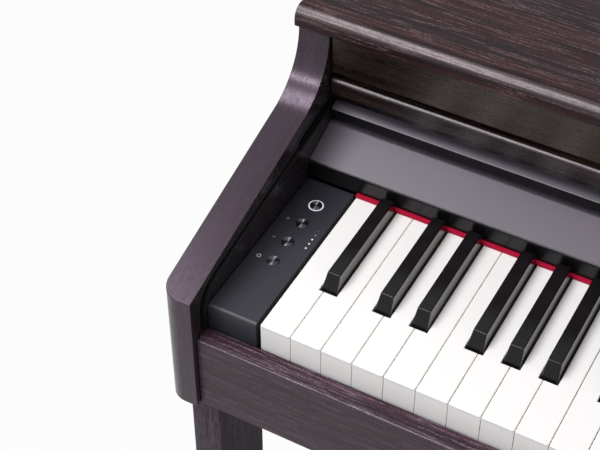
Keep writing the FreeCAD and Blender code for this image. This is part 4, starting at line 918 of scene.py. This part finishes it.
def cast_pedal(name, brass):
    low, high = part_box(name)
    build = bmesh.new()
    rings = []
    for step in range(SECTIONS + 1):
        t = (step / SECTIONS) ** TOWARDS_TOE
        half = (high.x - low.x) / 2 * pedal_width(t)
        thick = (high.z - low.z) / 2 * pedal_thickness(t)
        middle = ((low.x + high.x) / 2, high.z - thick - (high.z - low.z) * pedal_droop(t))
        ring = []
        for turned in range(AROUND):
            across, up = rounded_square(math.tau * turned / AROUND)
            z = max(low.z, min(high.z, middle[1] + thick * up))
            ring.append(build.verts.new((middle[0] + half * across, low.y + (high.y - low.y) * t, z)))
        rings.append(ring)
    skin(build, rings, rings[0][::-1], rings[-1])
    cast = piece_from("cast_" + name, build, brass, name)
    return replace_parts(cast, name)


brass = metal("polished_brass", (0.80, 0.58, 0.26), 0.2, "none", 0.000008, 500)
for name in ("left_pedal", "middle_pedal", "right_pedal"):
    print(name, measure(cast_pedal(name, brass)))

# %% [markdown]
# ## Screws in the back
#
# The rear panel is held by ten pan-head screws. Each head is a dome with a cross recess. The recess could be
# cut out as a solid, but that leaves ragged faces on such a small dome, so it is pushed in: points of the
# dome that lie in the cross and near the middle move inwards.

# %% A pan head
HEAD_RADIUS, HEAD_RINGS, HEAD_STEPS = 0.0032, 10, 48
CROSS_REACH, CROSS_WIDTH, CROSS_FLOOR, DOME_FALL = 0.62, 0.15, 0.15, 0.55  # as shares of the head


def head_height(share, angle, turned):
    """How far the head stands out at a share of its radius, as a share of its height."""
    arms = abs(share * math.cos(angle + turned)), abs(share * math.sin(angle + turned))
    if share < CROSS_REACH and min(arms) < CROSS_WIDTH:
        return CROSS_FLOOR
    return 1 - DOME_FALL * share ** 2 if share < 1 else 0


print("height at the middle, the dome and the rim:", [round(head_height(s, 0.8, 0), 2) for s in (0, 0.5, 1)])

# %% [markdown]
# Five screws stand along the panel's lower edge and five along its upper edge. No one lines screws up, so
# each is turned by a random angle.

# %% Ten screws
def screw_head(build, x, z, face, high, turned):
    rings = []
    for number in range(HEAD_RINGS + 1):
        ring = []
        for step in range(HEAD_STEPS if number else 1):
            share, angle = number / HEAD_RINGS, math.tau * step / HEAD_STEPS
            across, up = HEAD_RADIUS * share * math.cos(angle), HEAD_RADIUS * share * math.sin(angle)
            out = high * head_height(share, angle, turned)
            ring.append(build.verts.new((x + across, face + out, z + up)))
        rings.append(ring)
    skin(build, rings, rings[-1])


low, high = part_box("rear_screws")
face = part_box("rear_panel")[1].y
build = bmesh.new()
for column in range(5):
    x = low.x + HEAD_RADIUS + (high.x - low.x - 2 * HEAD_RADIUS) * column / 4
    for z in (low.z + HEAD_RADIUS, high.z - HEAD_RADIUS):
        screw_head(build, x, z, face, high.y - face, random.uniform(0, math.pi))
zinc = metal("black_zinc", (0.075, 0.072, 0.07), 0.35, "none")
heads = piece_from("rear_screw_heads", build, zinc, "cabinet")
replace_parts(heads, "rear_screws")
print("all ten heads together", measure(heads))

# %% [markdown]
# ## Inside the sockets
#
# A socket is more than a hole. The power inlet has a pin in its middle, and the computer and storage sockets
# each have a tongue that carries the contacts. They stop short of the panel's face, where a plug's shell goes
# round them. No plug is in any of them.

# %% A small rounded block
def block(build, low, high, edge=0.00015):
    """A small rounded block between two corners, in metres."""
    made = bmesh.ops.create_cube(build, size=1.0)["verts"]
    for vert in made:
        vert.co = Vector([a + (b - a) * (c + 0.5) for a, b, c in zip(low, high, vert.co)])
    edges = dict.fromkeys(e for vert in made for e in vert.link_edges)  # each edge once
    bmesh.ops.bevel(build, geom=list(edges), offset=edge, segments=2, affect="EDGES")


UNEVEN = Vector((7.1, 3.3, 1.0))  # so that no two places get the same number


def settle(build):
    """Stores points and faces by where they are."""
    build.verts.sort(key=lambda point: UNEVEN.dot(point.co))
    build.faces.sort(key=lambda face: UNEVEN.dot(face.calc_center_median()))


print("a block's edges are rounded by", 1000 * block.__defaults__[0], "mm")

# %% [markdown]
# The pin is turned and the tongues are blocks. The connector panel's own box says where they go: its sockets
# stand evenly about its middle. Rounding edges stores the new faces in an order that changes from run to run,
# so they are sorted at the end, and every run gives the same mesh.

# %% A pin and two tongues
SOCKET_SPACING = 0.032
TONGUE_BACK, TONGUE_FRONT = 0.0105, 0.002  # behind the panel's face
PIN = [(0, -10.5), (1.1, -10.5), (1.1, -2.6), (0.8, -2.0), (0, -1.9)]

panel_low, panel_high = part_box("connector_panel")
middle = (panel_low + panel_high) / 2
build = bmesh.new()
for step, half, thick in ((0.5, 0.0035, 0.0016), (-0.5, 0.005, 0.0011)):
    x = middle.x + SOCKET_SPACING * step
    block(build, (x - half, panel_high.y - TONGUE_BACK, middle.z - thick),
          (x + half, panel_high.y - TONGUE_FRONT, middle.z + thick))
inlet_x = middle.x + SOCKET_SPACING * 1.5
turn(build, PIN, (inlet_x * 1000, panel_high.y * 1000, middle.z * 1000), 24, "y")
settle(build)
gilt = metal("socket_contacts", (0.72, 0.62, 0.42), 0.25, "y")
contacts = piece_from("socket_contacts", build, gilt, "cabinet")
print("contacts", measure(contacts))

# %% [markdown]
# ## The camera
#
# The view looks down on the left end of the keys. A long lens, from further away, keeps the keys nearly
# parallel, where a short one would splay them. Two angles turn the camera: how far round it looks from, and
# how far up.

# %% Camera
lens = bpy.data.cameras.new("camera")
lens.lens, lens.sensor_width = 90.56, 36
lens.clip_start, lens.clip_end = 0.05, 60
round_by, up_by = math.radians(28.745), math.radians(44.835)
level = math.cos(up_by)
backwards = Vector((math.sin(round_by) * level, -math.cos(round_by) * level, math.sin(up_by)))
camera = bpy.data.objects.new("camera", lens)
camera.location = (-0.2586, -0.7698, 1.5036)
camera.rotation_euler = backwards.to_track_quat("Z", "Y").to_euler()
bpy.context.scene.collection.objects.link(camera)
bpy.context.scene.camera = camera
print("camera at", tuple(camera.location))

# %% [markdown]
# ## The lights
#
# Two soft boxes hang in front of the piano and to its left. The long one, high up, lays the broad sheen on
# the boards and in the hollow of the arm. The narrow one, lower and further forward, adds a thin shine to the
# edges and faces that look forwards. One large light could do both, but it would wash out the dark wood.

# %% Soft boxes
def soft_box(name, at, towards, size, power, tint):
    light = bpy.data.lights.new(name, "AREA")
    light.shape, light.size, light.size_y = "RECTANGLE", *size
    light.energy, light.color = power, tint
    hung = bpy.data.objects.new(name, light)
    hung.location = at
    hung.rotation_euler = (Vector(at) - Vector(towards)).to_track_quat("Z", "Y").to_euler()
    bpy.context.scene.collection.objects.link(hung)
    print(name, "soft box,", power, "watts")


soft_box("overhead", (-1.15, -0.72, 2.55), (-0.4, -0.05, 0.78), (1.8, 0.5), 30.7, (1.0, 0.98, 1.0))
soft_box("front", (-1.35, -1.77, 2.33), (-0.4, -0.05, 0.8), (1.3, 0.2), 22, (1, 1, 1))

# %% [markdown]
# ## The room
#
# Everything else is a soft, even room. To the camera and to shiny things it looks pure white, as a studio
# does. If it lit the piano that strongly, the dark wood would turn grey. So Light Path tells the rays apart:
# rays that light things meet a much weaker room.

# %% A white room
ROOM_LIGHT = 0.32


def seen_as_white(finish):
    """1 for rays from the camera, from gloss and through glass, and 0 for the light that falls on things."""
    kinds = ("Camera", "Glossy", "Transmission")
    eye, gloss, glass = (finish.node("ShaderNodeLightPath", {}, {}, f"Is {kind} Ray") for kind in kinds)
    return (eye + gloss + glass).above(0.5, 0.4)


room = Finish("room", bpy.data.worlds)
room.surface(Strength=seen_as_white(room) * (1 - ROOM_LIGHT) + ROOM_LIGHT, Color=(1, 1, 1, 1))
bpy.context.scene.world = room.material
bpy.context.scene.view_settings.view_transform = "Standard"
print("the room lights at", ROOM_LIGHT)

# %% [markdown]
# The floor is pale, and mostly glows white to the camera, so that it meets the room with no line. A small
# share of it stays an ordinary surface, which takes the piano's faint shadow.

# %% Floor paint
FLOOR_GLOW = 0.94
paint = Finish("white_floor")
paint.surface(Base_Color=(0.78, 0.78, 0.78, 1), Roughness=0.9, Specular_IOR_Level=0.1)
glow = paint.node("ShaderNodeEmission", {}, {"Color": (1, 1, 1, 1), "Strength": 1.0})
plain = Value(paint, paint.shader.outputs[0])
shown = paint.node("ShaderNodeMixShader", {}, {0: seen_as_white(paint) * FLOOR_GLOW, 1: plain, 2: glow})
output = next(n for n in paint.tree.nodes if n.type == "OUTPUT_MATERIAL")
paint.feed(output.inputs["Surface"], shown)
print("the floor glows by", FLOOR_GLOW)

# %% [markdown]
# The floor lies a little below the glides, so that no two faces share one height. It is far wider than the
# piano, to fill the view from any side.

# %% The floor
FLOOR_HALF_WIDTH, FLOOR_DROP = 12, 0.0005
build = bmesh.new()
bmesh.ops.create_grid(build, x_segments=8, y_segments=8, size=FLOOR_HALF_WIDTH)
mesh = bpy.data.meshes.new("floor")
build.to_mesh(mesh)
build.free()
mesh.materials.append(paint.material)
floor = bpy.data.objects.new("floor", mesh)
floor.location.z = -FLOOR_DROP
bpy.context.scene.collection.objects.link(floor)
print("floor", 2 * FLOOR_HALF_WIDTH, "m across")

# %% [markdown]
